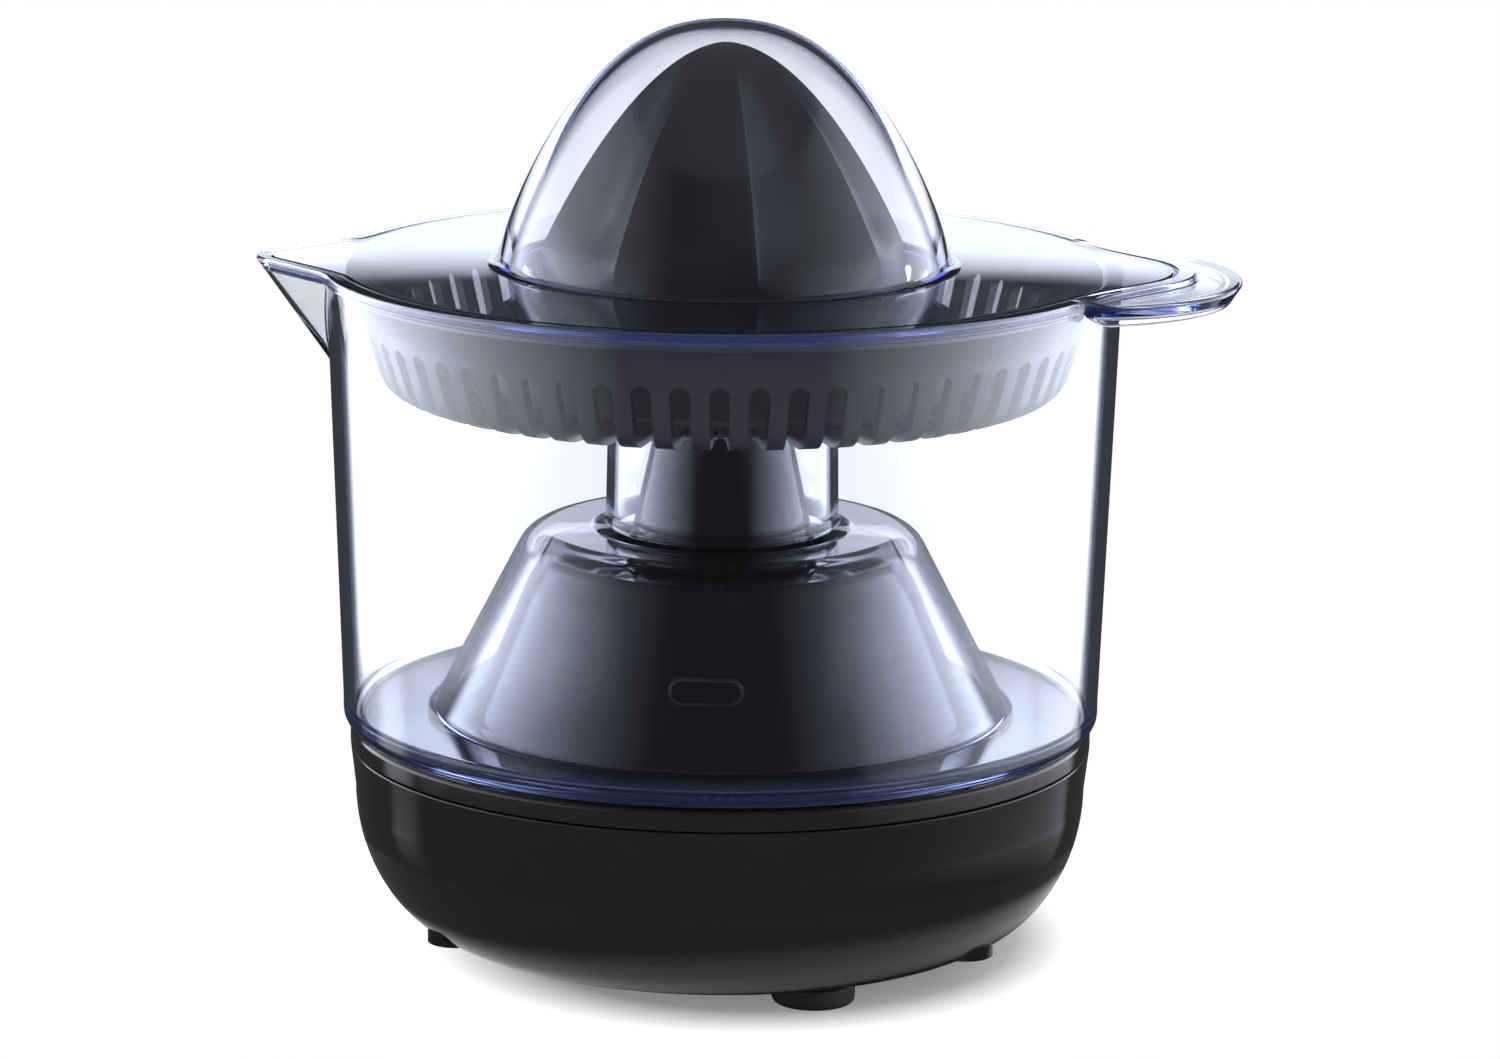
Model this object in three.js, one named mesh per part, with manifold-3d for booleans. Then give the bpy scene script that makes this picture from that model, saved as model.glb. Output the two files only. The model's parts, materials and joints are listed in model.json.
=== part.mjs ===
// Electric citrus press: motor base, clear jug, slotted strainer, ridged reamer and dust cover.
//
// Millimetres, +Z up, feet on z = 0. +X points from the spout to the handle and -Y is the front.
// Every mesh is one closed piece of the real product. The turning parts stand on one upright axis,
// which lies a little left of the origin so that spout and handle reach equally far.

import * as THREE from 'three';
import { mergeVertices } from 'three/addons/utils/BufferGeometryUtils.js';
import Module from 'manifold-3d';

const wasm = await Module();
wasm.setup();

// ---------------------------------------------------------------- driving dimensions

// Fits
const GAP = 0.3; // between pieces that touch
const BORE_CLEARANCE = 0.3; // round a shaft, pin or screw, on the radius

// Facets round one full turn
const FINE = 30;
const HIDDEN = 18;
const COARSE = 12;
const SMALL = 8;
const SCREW_FACETS = 6;
const HEX = 6;

// Base shells
const BASE_BOTTOM = 4;
const BASE_FLAT_RADIUS = 46;
const BASE_DRAFT = 0.9;
const BASE_CORNER_HEIGHT = 26;
const SEAM_Z = 38;
const SEAM_RADIUS = 66.4;
const BASE_WALL = 2.4;
const LIP_DEPTH = 2.6;
const LIP_WALL = 1.4;
const DECK_TOP = 41.7;
const DECK_WALL = 2.2;

// Hump and tower of the upper shell
const HUMP_FOOT_RADIUS = 44.5;
const HUMP_FOOT_Z = 43.5;
const HUMP_SHOULDER_RADIUS = 34.6;
const HUMP_SHOULDER_Z = 67;
const HUMP_TOP = 72;
const TOWER_FOOT_RADIUS = 16.9;
const TOWER_WAIST_RADIUS = 12.6;
const TOWER_WAIST_Z = 92;
const TOWER_TOP_RADIUS = 11.2;
const TOWER_TOP = 109;
const TOWER_WALL = 2.2;
const KEY_WIDTH = 13;
const KEY_HEIGHT = 5;
const KEY_Z = 56;
const KEY_PROUD = 2.1;

// Feet, screws and bosses
const FOOT_RADIUS = 7.3;
const FOOT_NECK_RADIUS = 2.6;
const FOOT_BARB_RADIUS = 3.6;
const FOOT_BARB_HEIGHT = 2;
const FOOT_RING = 41;
const FOOT_ANGLES = [-62.5, 57.5, 177.5];
const BOSS_RING_SHARE = 0.783; // of the seam's radius
const BOSS_RADIUS = 4;
const HOUSING_BOSS_ANGLES = [90, 210, 330];
const HOUSING_BOSS_BOTTOM = 20;
const WELL_RADIUS = 5;
const WELL_BORE = 3.3;
const WELL_CEILING = 2.5;
const SCREW_RADIUS = 1.5;
const SCREW_HEAD_RADIUS = 2.8;
const SCREW_HEAD_HEIGHT = 1.5;
const HOUSING_SCREW_LENGTH = 12;
const CHASSIS_SCREW_LENGTH = 5.5;
const COVER_SCREW_LENGTH = 9;

// Cord inlet in the rear wall
const INLET_ANGLE = 120;
const INLET_Z = 26;
const INLET_RADIUS = 5;
const INLET_FLANGE_RADIUS = 6.6;
const INLET_FLANGE_THICKNESS = 1.4;
const INLET_BORE = 2.6;

// Chassis plate and gearbox
const PLATE_BOTTOM = 31.5;
const PLATE_THICKNESS = 2;
const PLATE_SETBACK = 6; // inside the ring of bosses
const EAR_RADIUS = 5.4;
const COVER_BOTTOM = 52.5;
const COVER_THICKNESS = 2;
const COVER_RADIUS = 33;
const COVER_POST_RING = 30;
const COVER_POST_RADIUS = 3.3;
const COVER_POST_ANGLES = [-40, 50, 130];
const PIN_RADIUS = 1.5;
const GEAR_HUB_RADIUS = 2.9;

// Gear train: three reductions from the motor to the upright axis
const FIRST_STAGE = { pinion: 8, wheel: 32, module: 0.75, bottom: 34, face: 4 };
const SECOND_STAGE = { pinion: 9, wheel: 30, module: 0.85, bottom: 39, face: 4 };
const THIRD_STAGE = { pinion: 10, wheel: 32, module: 1, bottom: 44, face: 6 };
const BACKLASH = 0.25;
const SECOND_GEAR_DIRECTION = 240;
const FIRST_GEAR_DIRECTION = 160.8;
const ROTOR_DIRECTION = 82.7;

// Drive shaft, its bushes, seal and spring
const SHAFT_RADIUS = 4;
const SHAFT_BOTTOM = 20;
const SHAFT_FLAT = 3.2;
const SHAFT_FLATS_TOP = 60;
const SHAFT_HEX_BOTTOM = 111;
const SHAFT_TOP = 148;
const COLLAR_BOTTOM = 40;
const COLLAR_HEIGHT = 1.5;
const COLLAR_RADIUS = 6.5;
const HUB_RADIUS = 6.5;
const BUSH_RADIUS = 6;
const BUSH_FLANGE_RADIUS = 7.2;
const BUSH_FLANGE_HEIGHT = 0.8;
const BUSH_LENGTH = 5;
const UPPER_BUSH_RADIUS = 8.5;
const UPPER_BUSH_HEIGHT = 7.7;
const SEAL_RADIUS = 7.3;
const SEAL_HEIGHT = 1.6;
const SEAL_RECESS = 2.2;
const TOWER_CEILING = 1.8;
const SPRING_MEAN_RADIUS = 5.3;
const SPRING_WIRE = 0.45;
const SPRING_TURNS = 2.5;

// Motor
const STATOR_BOTTOM = 13;
const STATOR_HEIGHT = 14;
const STATOR_WIDTH = 33.5;
const STATOR_HEAD = 18;
const STATOR_LENGTH_SHARE = 0.813; // of the seam's radius
const LIMB_WIDTH = 8;
const CORE_BAR_WIDTH = 8;
const ROTOR_RADIUS = 11.6;
const ROTOR_AIR_GAP = 0.6;
const ROTOR_SHAFT_RADIUS = 1.5;
const PINION_SEAT_RADIUS = 1.2;
const BOBBIN_WALL = 1;
const COIL_BUILD = 2.3;
const BRACKET_BOTTOM = 8.6;
const BRACKET_THICKNESS = 1.6;
const BRACKET_WIDTH = 9;
const MOTOR_SCREW_OFFSET = [12.8, 13];

// Microswitch under the shaft
const SWITCH_NEAR_X = 3;
const SWITCH_FAR_X = 25;
const SWITCH_HALF_WIDTH = 3.2;
const SWITCH_TOP = 16.2;
const LEVER_HINGE_X = 22;
const LEVER_HINGE_Z = 18.6;
const LEVER_TIP_X = -3;
const LEVER_THICKNESS = 0.6;
const LEVER_HALF_WIDTH = 2;
const LEVER_PIN_RADIUS = 0.8;
const PLUNGER_X = 12;
const PLUNGER_RADIUS = 1.2;
const PLUNGER_DEPTH = 3;
const CRADLE_HEIGHT = 6;
const CRADLE_WALL = 1.5;

// Jug
const JUG_FLOOR_THICKNESS = 2.2;
const JUG_OVERHANG = 1.2; // of the foot outside the seam
const JUG_CORNER = 3.2;
const JUG_DRAFT = 2.6;
const JUG_WALL = 1.9;
const JUG_RIM_PROUD = 0.7;
const JUG_RIM_BORDER = 2.7; // between the cover and the outside of the rim
const JUG_RIM_TOP = 124.2;
const JUG_RIM_BAND = 2.3;
const JUG_CONE_FOOT_RADIUS = 51.5;
const JUG_CONE_SHOULDER_RADIUS = 38.4;
const JUG_CONE_SHOULDER_Z = 70.3;
const JUG_SHOULDER_TOP = 76.8;
const CHIMNEY_RADIUS = 20.7;
const CHIMNEY_TOP = 111.2;
const CHIMNEY_WALL = 1.7;
const SPOUT_BOTTOM_Z = 104;
const SPOUT_WALL = 2.2;
const LOBE_CLEARANCE = 0.6;
const HANDLE_OVERLAP = 10.9; // of the ear's centre inside the rim
const HANDLE_RADIUS = 32;
const HANDLE_PLATE = 1.8;
const HANDLE_STEP = 1.2; // of the ear's plate below its ridge
const HANDLE_RIDGE = 2.6;
const HANDLE_SKIRT = 5;
const HANDLE_SKIRT_WALL = 2;
const HANDLE_SKIRT_LEAN = 2.5;

// Strainer
const STRAINER_CLEARANCE = 1.5;
const STRAINER_RIM_TOP = 122.1;
const STRAINER_RIM_HEIGHT = 1.5;
const STRAINER_WALL = 1.8;
const STRAINER_DRAFT = 3.2; // of the wall, from the rim down to its foot
const STRAINER_CORNER = 9.6;
const STRAINER_FLOOR_Z = 102;
const STRAINER_HUB_DRAFT = 2.6;
const STRAINER_HUB_STEP = 2.3; // from the hub's foot to the slots
const HUB_HOLE = 7;
const BAR_COUNT = 60;
const BAR_WIDTH = 3.1;
const SLOT_TOP = 113.9;
const SLOT_FLOOR_RUN = 7.5;

// Reamer
const REAMER_RADIUS = 32.6;
const REAMER_TIP = 163.2;
const REAMER_SKIRT = 13.3;
const REAMER_FLANGE_THICKNESS = 1.5;
const REAMER_FLANGE_SETBACK = 2.7; // inside the strainer's hub
const REAMER_RIDGES = 8;
const REAMER_TURN = 13.6; // of the first ridge from +X, in degrees
const FLUTE_DEPTH = 0.16;
const REAMER_WALL = 2.4;
const SOCKET_RADIUS = 7;
const SOCKET_TOP = 152;

// Dust cover
const LID_WALL = 1.8;
const LOBE_REACH_SPOUT = 12.9;
const LOBE_REACH_HANDLE = 11.6;
const LOBE_TIP_RADIUS = 6;
const LOBE_HALF_ANGLE = 48;
const LOBE_ROOT = 11.9; // inside the brim, where the lobe's outline may end
const DOME_RADIUS = 40.3;
const DOME_FILLET = 0.9;
const DOME_TOP = 167.4;

// ---------------------------------------------------------------- sizes that follow

const BASE_CORNER_WIDTH = SEAM_RADIUS - BASE_DRAFT - BASE_FLAT_RADIUS;
const BOSS_RING = BOSS_RING_SHARE * SEAM_RADIUS;
const PLATE_RADIUS = BOSS_RING - PLATE_SETBACK;
const STATOR_LENGTH = STATOR_LENGTH_SHARE * SEAM_RADIUS;
const JUG_FOOT_RADIUS = SEAM_RADIUS + JUG_OVERHANG;
const JUG_NECK_RADIUS = JUG_FOOT_RADIUS + JUG_DRAFT;
const JUG_RIM_RADIUS = JUG_NECK_RADIUS + JUG_RIM_PROUD;
const LID_RADIUS = JUG_RIM_RADIUS - JUG_RIM_BORDER - GAP;
const LOBE_TIP_SPOUT = LID_RADIUS + LOBE_REACH_SPOUT;
const LOBE_TIP_HANDLE = LID_RADIUS + LOBE_REACH_HANDLE;
const HANDLE_CENTRE = JUG_RIM_RADIUS - HANDLE_OVERLAP;
const STRAINER_RIM_RADIUS = JUG_NECK_RADIUS - JUG_WALL - STRAINER_CLEARANCE;
const STRAINER_WALL_FOOT = STRAINER_RIM_RADIUS - STRAINER_DRAFT;
const STRAINER_FLOOR_RADIUS = STRAINER_WALL_FOOT - STRAINER_CORNER;
const SLOT_INNER_RADIUS = STRAINER_FLOOR_RADIUS - SLOT_FLOOR_RUN;
const STRAINER_HUB_FOOT = SLOT_INNER_RADIUS - STRAINER_HUB_STEP;
const STRAINER_HUB_RADIUS = STRAINER_HUB_FOOT - STRAINER_HUB_DRAFT;
const REAMER_FLANGE_RADIUS = STRAINER_HUB_RADIUS - REAMER_FLANGE_SETBACK;
const SPOUT_REACH = LOBE_TIP_SPOUT + LOBE_CLEARANCE + SPOUT_WALL;
const HANDLE_REACH = HANDLE_CENTRE + HANDLE_RADIUS;
const AXIS_X = (SPOUT_REACH - HANDLE_REACH) / 2;
const FLOOR_TOP = BASE_BOTTOM + BASE_WALL;
const DECK_UNDERSIDE = DECK_TOP - DECK_WALL;
const PLATE_TOP = PLATE_BOTTOM + PLATE_THICKNESS;
const STATOR_TOP = STATOR_BOTTOM + STATOR_HEIGHT;
const JUG_BOTTOM = DECK_TOP + GAP;
const JUG_FLOOR = JUG_BOTTOM + JUG_FLOOR_THICKNESS;
const LID_BRIM_TOP = STRAINER_RIM_TOP + GAP + LID_WALL;
const LOBE_SEAT = STRAINER_RIM_TOP;
const STRAINER_SEAT = CHIMNEY_TOP + GAP;
const STRAINER_HUB_TOP = STRAINER_SEAT + STRAINER_WALL;
const REAMER_BOTTOM = STRAINER_HUB_TOP + GAP;
const HUB_BOTTOM = COLLAR_BOTTOM + COLLAR_HEIGHT + GAP;
const HUB_TOP = COVER_BOTTOM - GAP;
const BUSH_TOP = PLATE_TOP + GAP + BUSH_FLANGE_HEIGHT;

const radians = THREE.MathUtils.degToRad;

function polar(radius, degrees, centre = [0, 0]) {
  return [
    centre[0] + radius * Math.cos(radians(degrees)),
    centre[1] + radius * Math.sin(radians(degrees)),
  ];
}

function stageCentres(stage) {
  return (stage.module * (stage.pinion + stage.wheel)) / 2;
}

const OUTPUT_CENTRE = [0, 0];
const SECOND_CENTRE = polar(stageCentres(THIRD_STAGE), SECOND_GEAR_DIRECTION);
const FIRST_CENTRE = polar(stageCentres(SECOND_STAGE), FIRST_GEAR_DIRECTION, SECOND_CENTRE);
const ROTOR_CENTRE = polar(stageCentres(FIRST_STAGE), ROTOR_DIRECTION, FIRST_CENTRE);
const MOTOR_SCREWS = [-1, 1].map((side) => [
  ROTOR_CENTRE[0] + side * MOTOR_SCREW_OFFSET[0],
  ROTOR_CENTRE[1] + side * MOTOR_SCREW_OFFSET[1],
]);

// ---------------------------------------------------------------- materials

function plastic(color, roughness, options = {}) {
  return new THREE.MeshStandardMaterial({ color, roughness, metalness: 0, ...options });
}

function metal(color, roughness) {
  return new THREE.MeshStandardMaterial({ color, roughness, metalness: 1 });
}

const glossBlack = plastic(0x0e0d10, 0.12);
const satinCharcoal = plastic(0x2f2e35, 0.32);
const clearPlastic = plastic(0xe6e8f2, 0.05, { transparent: true, opacity: 0.35 });
const rubber = plastic(0x141416, 0.8);
const gearPlastic = plastic(0xe9e4d4, 0.45);
const switchPlastic = plastic(0x2a2a2c, 0.5);
const bobbinPlastic = plastic(0xe8e8e8, 0.5);
const steel = metal(0xb4b6ba, 0.35);
const lamination = metal(0x6d6f73, 0.5);
const copper = metal(0xb4622d, 0.35);
const bronze = metal(0xa98a54, 0.4);

// ---------------------------------------------------------------- shape helpers

/** Profile point: distance from the axis and height. */
function at(radius, height) {
  return new THREE.Vector2(radius, height);
}

/** Points of an elliptical arc in a profile, angles in degrees. */
function arc(radius, height, width, rise, from, to, steps) {
  return Array.from({ length: steps + 1 }, (_, i) => {
    const angle = radians(from + ((to - from) * i) / steps);
    return at(radius + width * Math.cos(angle), height + rise * Math.sin(angle));
  });
}

/** Closed solid of a geometry: shared corners merged, flat triangles dropped, faces outwards. */
function solid(geometry) {
  const bare = geometry.clone();
  bare.deleteAttribute('normal');
  bare.deleteAttribute('uv');
  const merged = mergeVertices(bare);
  const index = merged.index.array;
  const place = merged.attributes.position;
  const corners = [new THREE.Vector3(), new THREE.Vector3(), new THREE.Vector3()];
  const triangles = [];
  let volume = 0;
  for (let i = 0; i < index.length; i += 3) {
    const face = [index[i], index[i + 1], index[i + 2]];
    if (new Set(face).size < 3) continue;
    face.forEach((vertex, k) => corners[k].fromBufferAttribute(place, vertex));
    volume += corners[0].dot(corners[1].cross(corners[2]));
    triangles.push(face);
  }
  if (volume < 0) triangles.forEach((face) => face.reverse());
  return new wasm.Manifold(
    new wasm.Mesh({
      numProp: 3,
      vertProperties: Float32Array.from(place.array),
      triVerts: Uint32Array.from(triangles.flat()),
    }),
  );
}

/** Solid of revolution about the upright axis through (x, y). */
function revolve(profile, facets = FINE, [x, y] = [0, 0]) {
  const geometry = new THREE.LatheGeometry(profile, facets);
  return solid(geometry.rotateX(Math.PI / 2).translate(x, y, 0));
}

/** Revolved ring: a closed profile that does not touch the axis. */
function ring(profile, facets = FINE, centre = [0, 0]) {
  return revolve([...profile, profile[0]], facets, centre);
}

/** Upright round bar from one height to another. */
function rod(radius, bottom, top, centre = [0, 0], facets = COARSE) {
  return revolve([at(0, bottom), at(radius, bottom), at(radius, top), at(0, top)], facets, centre);
}

/** Upright round tube. */
function tube(outer, inner, bottom, top, centre = [0, 0], facets = COARSE) {
  return ring([at(inner, bottom), at(outer, bottom), at(outer, top), at(inner, top)], facets, centre);
}

function block([x0, x1], [y0, y1], [z0, z1]) {
  const geometry = new THREE.BoxGeometry(x1 - x0, y1 - y0, z1 - z0);
  return solid(geometry.translate((x0 + x1) / 2, (y0 + y1) / 2, (z0 + z1) / 2));
}

/** Flat outline in plan, made into a plate between two heights. */
function slab(shape, bottom, top, curveSegments = 6) {
  const settings = { depth: top - bottom, bevelEnabled: false, curveSegments };
  return solid(new THREE.ExtrudeGeometry(shape, settings).translate(0, 0, bottom));
}

function union(first, ...rest) {
  return rest.reduce((whole, piece) => whole.add(piece), first);
}

function cut(body, ...tools) {
  return tools.reduce((whole, tool) => whole.subtract(tool), body);
}

function circleShape(radius, [x, y] = [0, 0]) {
  return new THREE.Shape().absarc(x, y, radius, 0, 2 * Math.PI, false);
}

// ---------------------------------------------------------------- scene graph

const juicer = new THREE.Group();
const assembly = new THREE.Group();
assembly.position.x = AXIS_X;
juicer.add(assembly);

function place(name, body, material) {
  const { vertProperties, triVerts } = body.getMesh();
  const geometry = new THREE.BufferGeometry();
  geometry.setAttribute('position', new THREE.BufferAttribute(vertProperties, 3));
  geometry.setIndex(new THREE.BufferAttribute(triVerts, 1));
  geometry.computeVertexNormals();
  const mesh = new THREE.Mesh(geometry, material.clone());
  mesh.name = name;
  assembly.add(mesh);
}

// ---------------------------------------------------------------- base shells

/** Side of the lower shell, from the flat bottom round the big corner up to the seam. */
function lowerShellSide(inset, steps) {
  const corner = BASE_BOTTOM + BASE_CORNER_HEIGHT;
  return [
    ...arc(
      BASE_FLAT_RADIUS,
      corner,
      BASE_CORNER_WIDTH - inset,
      BASE_CORNER_HEIGHT - inset,
      -90,
      0,
      steps,
    ),
    at(SEAM_RADIUS - inset, SEAM_Z - GAP / 2),
  ];
}

function screwWell(centre) {
  return rod(WELL_RADIUS, BASE_BOTTOM + 1, HOUSING_BOSS_BOTTOM - GAP, centre, SMALL);
}

function screwWellBore(centre) {
  const ceiling = HOUSING_BOSS_BOTTOM - GAP - WELL_CEILING;
  return union(
    rod(WELL_BORE, BASE_BOTTOM - 1, ceiling, centre, SMALL),
    rod(SCREW_RADIUS + BORE_CLEARANCE, ceiling - 1, HOUSING_BOSS_BOTTOM, centre, SMALL),
  );
}

/** Bar along the inlet's own direction, through the rear wall. */
function inletBar(radius, from, to) {
  const geometry = new THREE.CylinderGeometry(radius, radius, to - from, COARSE);
  geometry.rotateZ(-Math.PI / 2).translate((from + to) / 2, 0, INLET_Z);
  return solid(geometry.rotateZ(radians(INLET_ANGLE)));
}

function buildLowerHousing() {
  const outside = revolve([
    at(0, BASE_BOTTOM),
    ...lowerShellSide(0, 6),
    at(0, SEAM_Z - GAP / 2),
  ]);
  const cavity = revolve(
    [
      at(0, FLOOR_TOP),
      ...lowerShellSide(BASE_WALL, 4),
      at(SEAM_RADIUS - BASE_WALL, SEAM_Z + 1),
      at(0, SEAM_Z + 1),
    ],
    HIDDEN,
  );
  const bowl = cut(outside, cavity);
  const screws = HOUSING_BOSS_ANGLES.map((angle) => polar(BOSS_RING, angle));
  const cradle = [-1, 1].map((side) => {
    const near = side * (SWITCH_HALF_WIDTH + GAP);
    const far = near + side * CRADLE_WALL;
    const across = [Math.min(near, far), Math.max(near, far)];
    return block([SWITCH_NEAR_X, SWITCH_FAR_X], across, [FLOOR_TOP - 1, FLOOR_TOP + CRADLE_HEIGHT]);
  });
  const footHoles = FOOT_ANGLES.map((angle) =>
    rod(
      FOOT_NECK_RADIUS + BORE_CLEARANCE,
      BASE_BOTTOM - 1,
      FLOOR_TOP + 1,
      polar(FOOT_RING, angle),
      SMALL,
    ),
  );
  const wells = union(...screws.map(screwWell)).intersect(outside);
  const shell = union(bowl, wells, ...cradle);
  const inletHole = inletBar(INLET_RADIUS + BORE_CLEARANCE, BOSS_RING, SEAM_RADIUS + 5);
  return cut(shell, ...screws.map(screwWellBore), ...footHoles, inletHole);
}

function buildUpperHousing() {
  const lipOuter = SEAM_RADIUS - BASE_WALL - GAP;
  const shoulder = HUMP_TOP - HUMP_SHOULDER_Z;
  const boreTop = TOWER_TOP - SEAL_RECESS - TOWER_CEILING;
  const bushBore = UPPER_BUSH_RADIUS + BORE_CLEARANCE;
  const outside = revolve([
    at(0, SEAM_Z + GAP / 2),
    at(SEAM_RADIUS, SEAM_Z + GAP / 2),
    at(SEAM_RADIUS, DECK_TOP - 0.8),
    at(SEAM_RADIUS - 0.8, DECK_TOP),
    at(HUMP_FOOT_RADIUS + 2, DECK_TOP),
    at(HUMP_FOOT_RADIUS, HUMP_FOOT_Z),
    at(HUMP_SHOULDER_RADIUS, HUMP_SHOULDER_Z),
    ...arc(HUMP_SHOULDER_RADIUS - shoulder, HUMP_SHOULDER_Z, shoulder * 0.9, shoulder, 30, 90, 2),
    at(TOWER_FOOT_RADIUS + 1.5, HUMP_TOP + 0.4),
    at(TOWER_FOOT_RADIUS, HUMP_TOP + 2),
    at(TOWER_WAIST_RADIUS, TOWER_WAIST_Z),
    at(TOWER_TOP_RADIUS, TOWER_TOP - 0.8),
    at(TOWER_TOP_RADIUS - 0.8, TOWER_TOP),
    at(0, TOWER_TOP),
  ]);
  const cavity = revolve(
    [
      at(0, SEAM_Z - 1),
      at(lipOuter - LIP_WALL, SEAM_Z - 1),
      at(lipOuter - LIP_WALL, DECK_UNDERSIDE),
      at(HUMP_FOOT_RADIUS - TOWER_WALL + 1, DECK_UNDERSIDE),
      at(HUMP_SHOULDER_RADIUS - TOWER_WALL, HUMP_SHOULDER_Z - 0.6),
      at(HUMP_SHOULDER_RADIUS - shoulder, HUMP_TOP - TOWER_WALL),
      at(TOWER_FOOT_RADIUS - TOWER_WALL, HUMP_TOP - TOWER_WALL),
      at(TOWER_WAIST_RADIUS - TOWER_WALL, TOWER_WAIST_Z),
      at(bushBore, boreTop - UPPER_BUSH_HEIGHT - GAP),
      at(bushBore, boreTop),
      at(0, boreTop),
    ],
    HIDDEN,
  );
  const lip = tube(
    lipOuter,
    lipOuter - LIP_WALL,
    SEAM_Z - LIP_DEPTH,
    SEAM_Z + 1,
    OUTPUT_CENTRE,
    HIDDEN,
  );
  const shell = cut(
    union(outside, lip),
    cavity,
    rod(SEAL_RADIUS + BORE_CLEARANCE, TOWER_TOP - SEAL_RECESS, TOWER_TOP + 1),
    rod(SHAFT_RADIUS + 1.2, boreTop - 1, TOWER_TOP),
  );
  const housingBosses = HOUSING_BOSS_ANGLES.map((angle) =>
    rod(BOSS_RADIUS, HOUSING_BOSS_BOTTOM, DECK_UNDERSIDE + 1, polar(BOSS_RING, angle), SMALL),
  );
  const plateBosses = FOOT_ANGLES.map((angle) =>
    rod(BOSS_RADIUS, PLATE_TOP + GAP, DECK_UNDERSIDE + 1, polar(BOSS_RING, angle), SMALL),
  );
  const housingPilots = HOUSING_BOSS_ANGLES.map((angle) =>
    pilot(HOUSING_BOSS_BOTTOM - 1, housingScrewTop() + GAP, polar(BOSS_RING, angle)),
  );
  const platePilots = FOOT_ANGLES.map((angle) =>
    pilot(PLATE_TOP, chassisScrewTop() + GAP, polar(BOSS_RING, angle)),
  );
  return cut(
    union(shell, buildKey(), ...housingBosses, ...plateBosses),
    ...housingPilots,
    ...platePilots,
  );
}

/** Raised obround key on the front of the hump. */
function buildKey() {
  const half = (KEY_WIDTH - KEY_HEIGHT) / 2;
  const shape = new THREE.Shape();
  shape.absarc(half, 0, KEY_HEIGHT / 2, -Math.PI / 2, Math.PI / 2, false);
  shape.absarc(-half, 0, KEY_HEIGHT / 2, Math.PI / 2, (3 * Math.PI) / 2, false);
  const depth = KEY_PROUD + 1.5;
  const geometry = new THREE.ExtrudeGeometry(shape, { depth, bevelEnabled: false, curveSegments: 5 });
  const share = (KEY_Z - HUMP_FOOT_Z) / (HUMP_SHOULDER_Z - HUMP_FOOT_Z);
  const humpRadius = THREE.MathUtils.lerp(HUMP_FOOT_RADIUS, HUMP_SHOULDER_RADIUS, share);
  return solid(geometry.rotateX(Math.PI / 2).translate(0, -humpRadius + 1.5, KEY_Z));
}

function pilot(bottom, top, centre) {
  return rod(SCREW_RADIUS + BORE_CLEARANCE, bottom, top, centre, SMALL);
}

function housingScrewSeat() {
  return HOUSING_BOSS_BOTTOM - GAP - WELL_CEILING - GAP;
}

function housingScrewTop() {
  return housingScrewSeat() + HOUSING_SCREW_LENGTH;
}

function chassisScrewTop() {
  return PLATE_BOTTOM - GAP + CHASSIS_SCREW_LENGTH;
}

/** Pan-head screw; the head lies below its seat, or above it when the screw points down. */
function screw(seat, length, centre, pointsDown = false) {
  const way = pointsDown ? -1 : 1;
  const profile = [
    at(0, seat - way * SCREW_HEAD_HEIGHT),
    at(SCREW_HEAD_RADIUS - 0.6, seat - way * SCREW_HEAD_HEIGHT),
    at(SCREW_HEAD_RADIUS, seat - way * SCREW_HEAD_HEIGHT * 0.4),
    at(SCREW_HEAD_RADIUS, seat),
    at(SCREW_RADIUS, seat),
    at(SCREW_RADIUS, seat + way * (length - 1)),
    at(0, seat + way * length),
  ];
  return revolve(profile, SCREW_FACETS, centre);
}

function buildFoot(angle) {
  const neckTop = FLOOR_TOP + GAP;
  const profile = [
    at(0, 0),
    at(FOOT_RADIUS - 0.8, 0),
    at(FOOT_RADIUS, 0.8),
    at(FOOT_RADIUS, BASE_BOTTOM - GAP),
    at(FOOT_NECK_RADIUS, BASE_BOTTOM - GAP),
    at(FOOT_NECK_RADIUS, neckTop),
    at(FOOT_BARB_RADIUS, neckTop),
    at(FOOT_NECK_RADIUS - 0.6, neckTop + FOOT_BARB_HEIGHT),
    at(0, neckTop + FOOT_BARB_HEIGHT),
  ];
  return revolve(profile, COARSE, polar(FOOT_RING, angle));
}

/** Radius of the big corner of the lower shell at a height. */
function cornerRadius(inset, height) {
  const drop = (BASE_BOTTOM + BASE_CORNER_HEIGHT - height) / (BASE_CORNER_HEIGHT - inset);
  return BASE_FLAT_RADIUS + (BASE_CORNER_WIDTH - inset) * Math.sqrt(1 - drop * drop);
}

/** Gland that lines the cord's hole: a bush through the wall with a flange inside. */
function buildCordInlet() {
  const lowestWall = cornerRadius(BASE_WALL, INLET_Z - INLET_FLANGE_RADIUS);
  const bow = INLET_FLANGE_RADIUS ** 2 / (2 * lowestWall);
  const flangeFace = lowestWall * Math.cos(Math.PI / HIDDEN) - bow - GAP;
  const body = inletBar(INLET_RADIUS, flangeFace - 1, cornerRadius(0, INLET_Z) + 0.8);
  const flange = inletBar(INLET_FLANGE_RADIUS, flangeFace - INLET_FLANGE_THICKNESS, flangeFace);
  return cut(union(body, flange), inletBar(INLET_BORE, BOSS_RING, SEAM_RADIUS + 5));
}

place('lower_housing', buildLowerHousing(), glossBlack);
place('upper_housing', buildUpperHousing(), glossBlack);
['front', 'rear', 'left'].forEach((side, i) => {
  place(`foot_${side}`, buildFoot(FOOT_ANGLES[i]), rubber);
});
place('cord_inlet', buildCordInlet(), rubber);
HOUSING_BOSS_ANGLES.forEach((angle, i) => {
  const body = screw(housingScrewSeat(), HOUSING_SCREW_LENGTH, polar(BOSS_RING, angle));
  place(`housing_screw_${i + 1}`, body, steel);
});

// ---------------------------------------------------------------- chassis and gearbox

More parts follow.
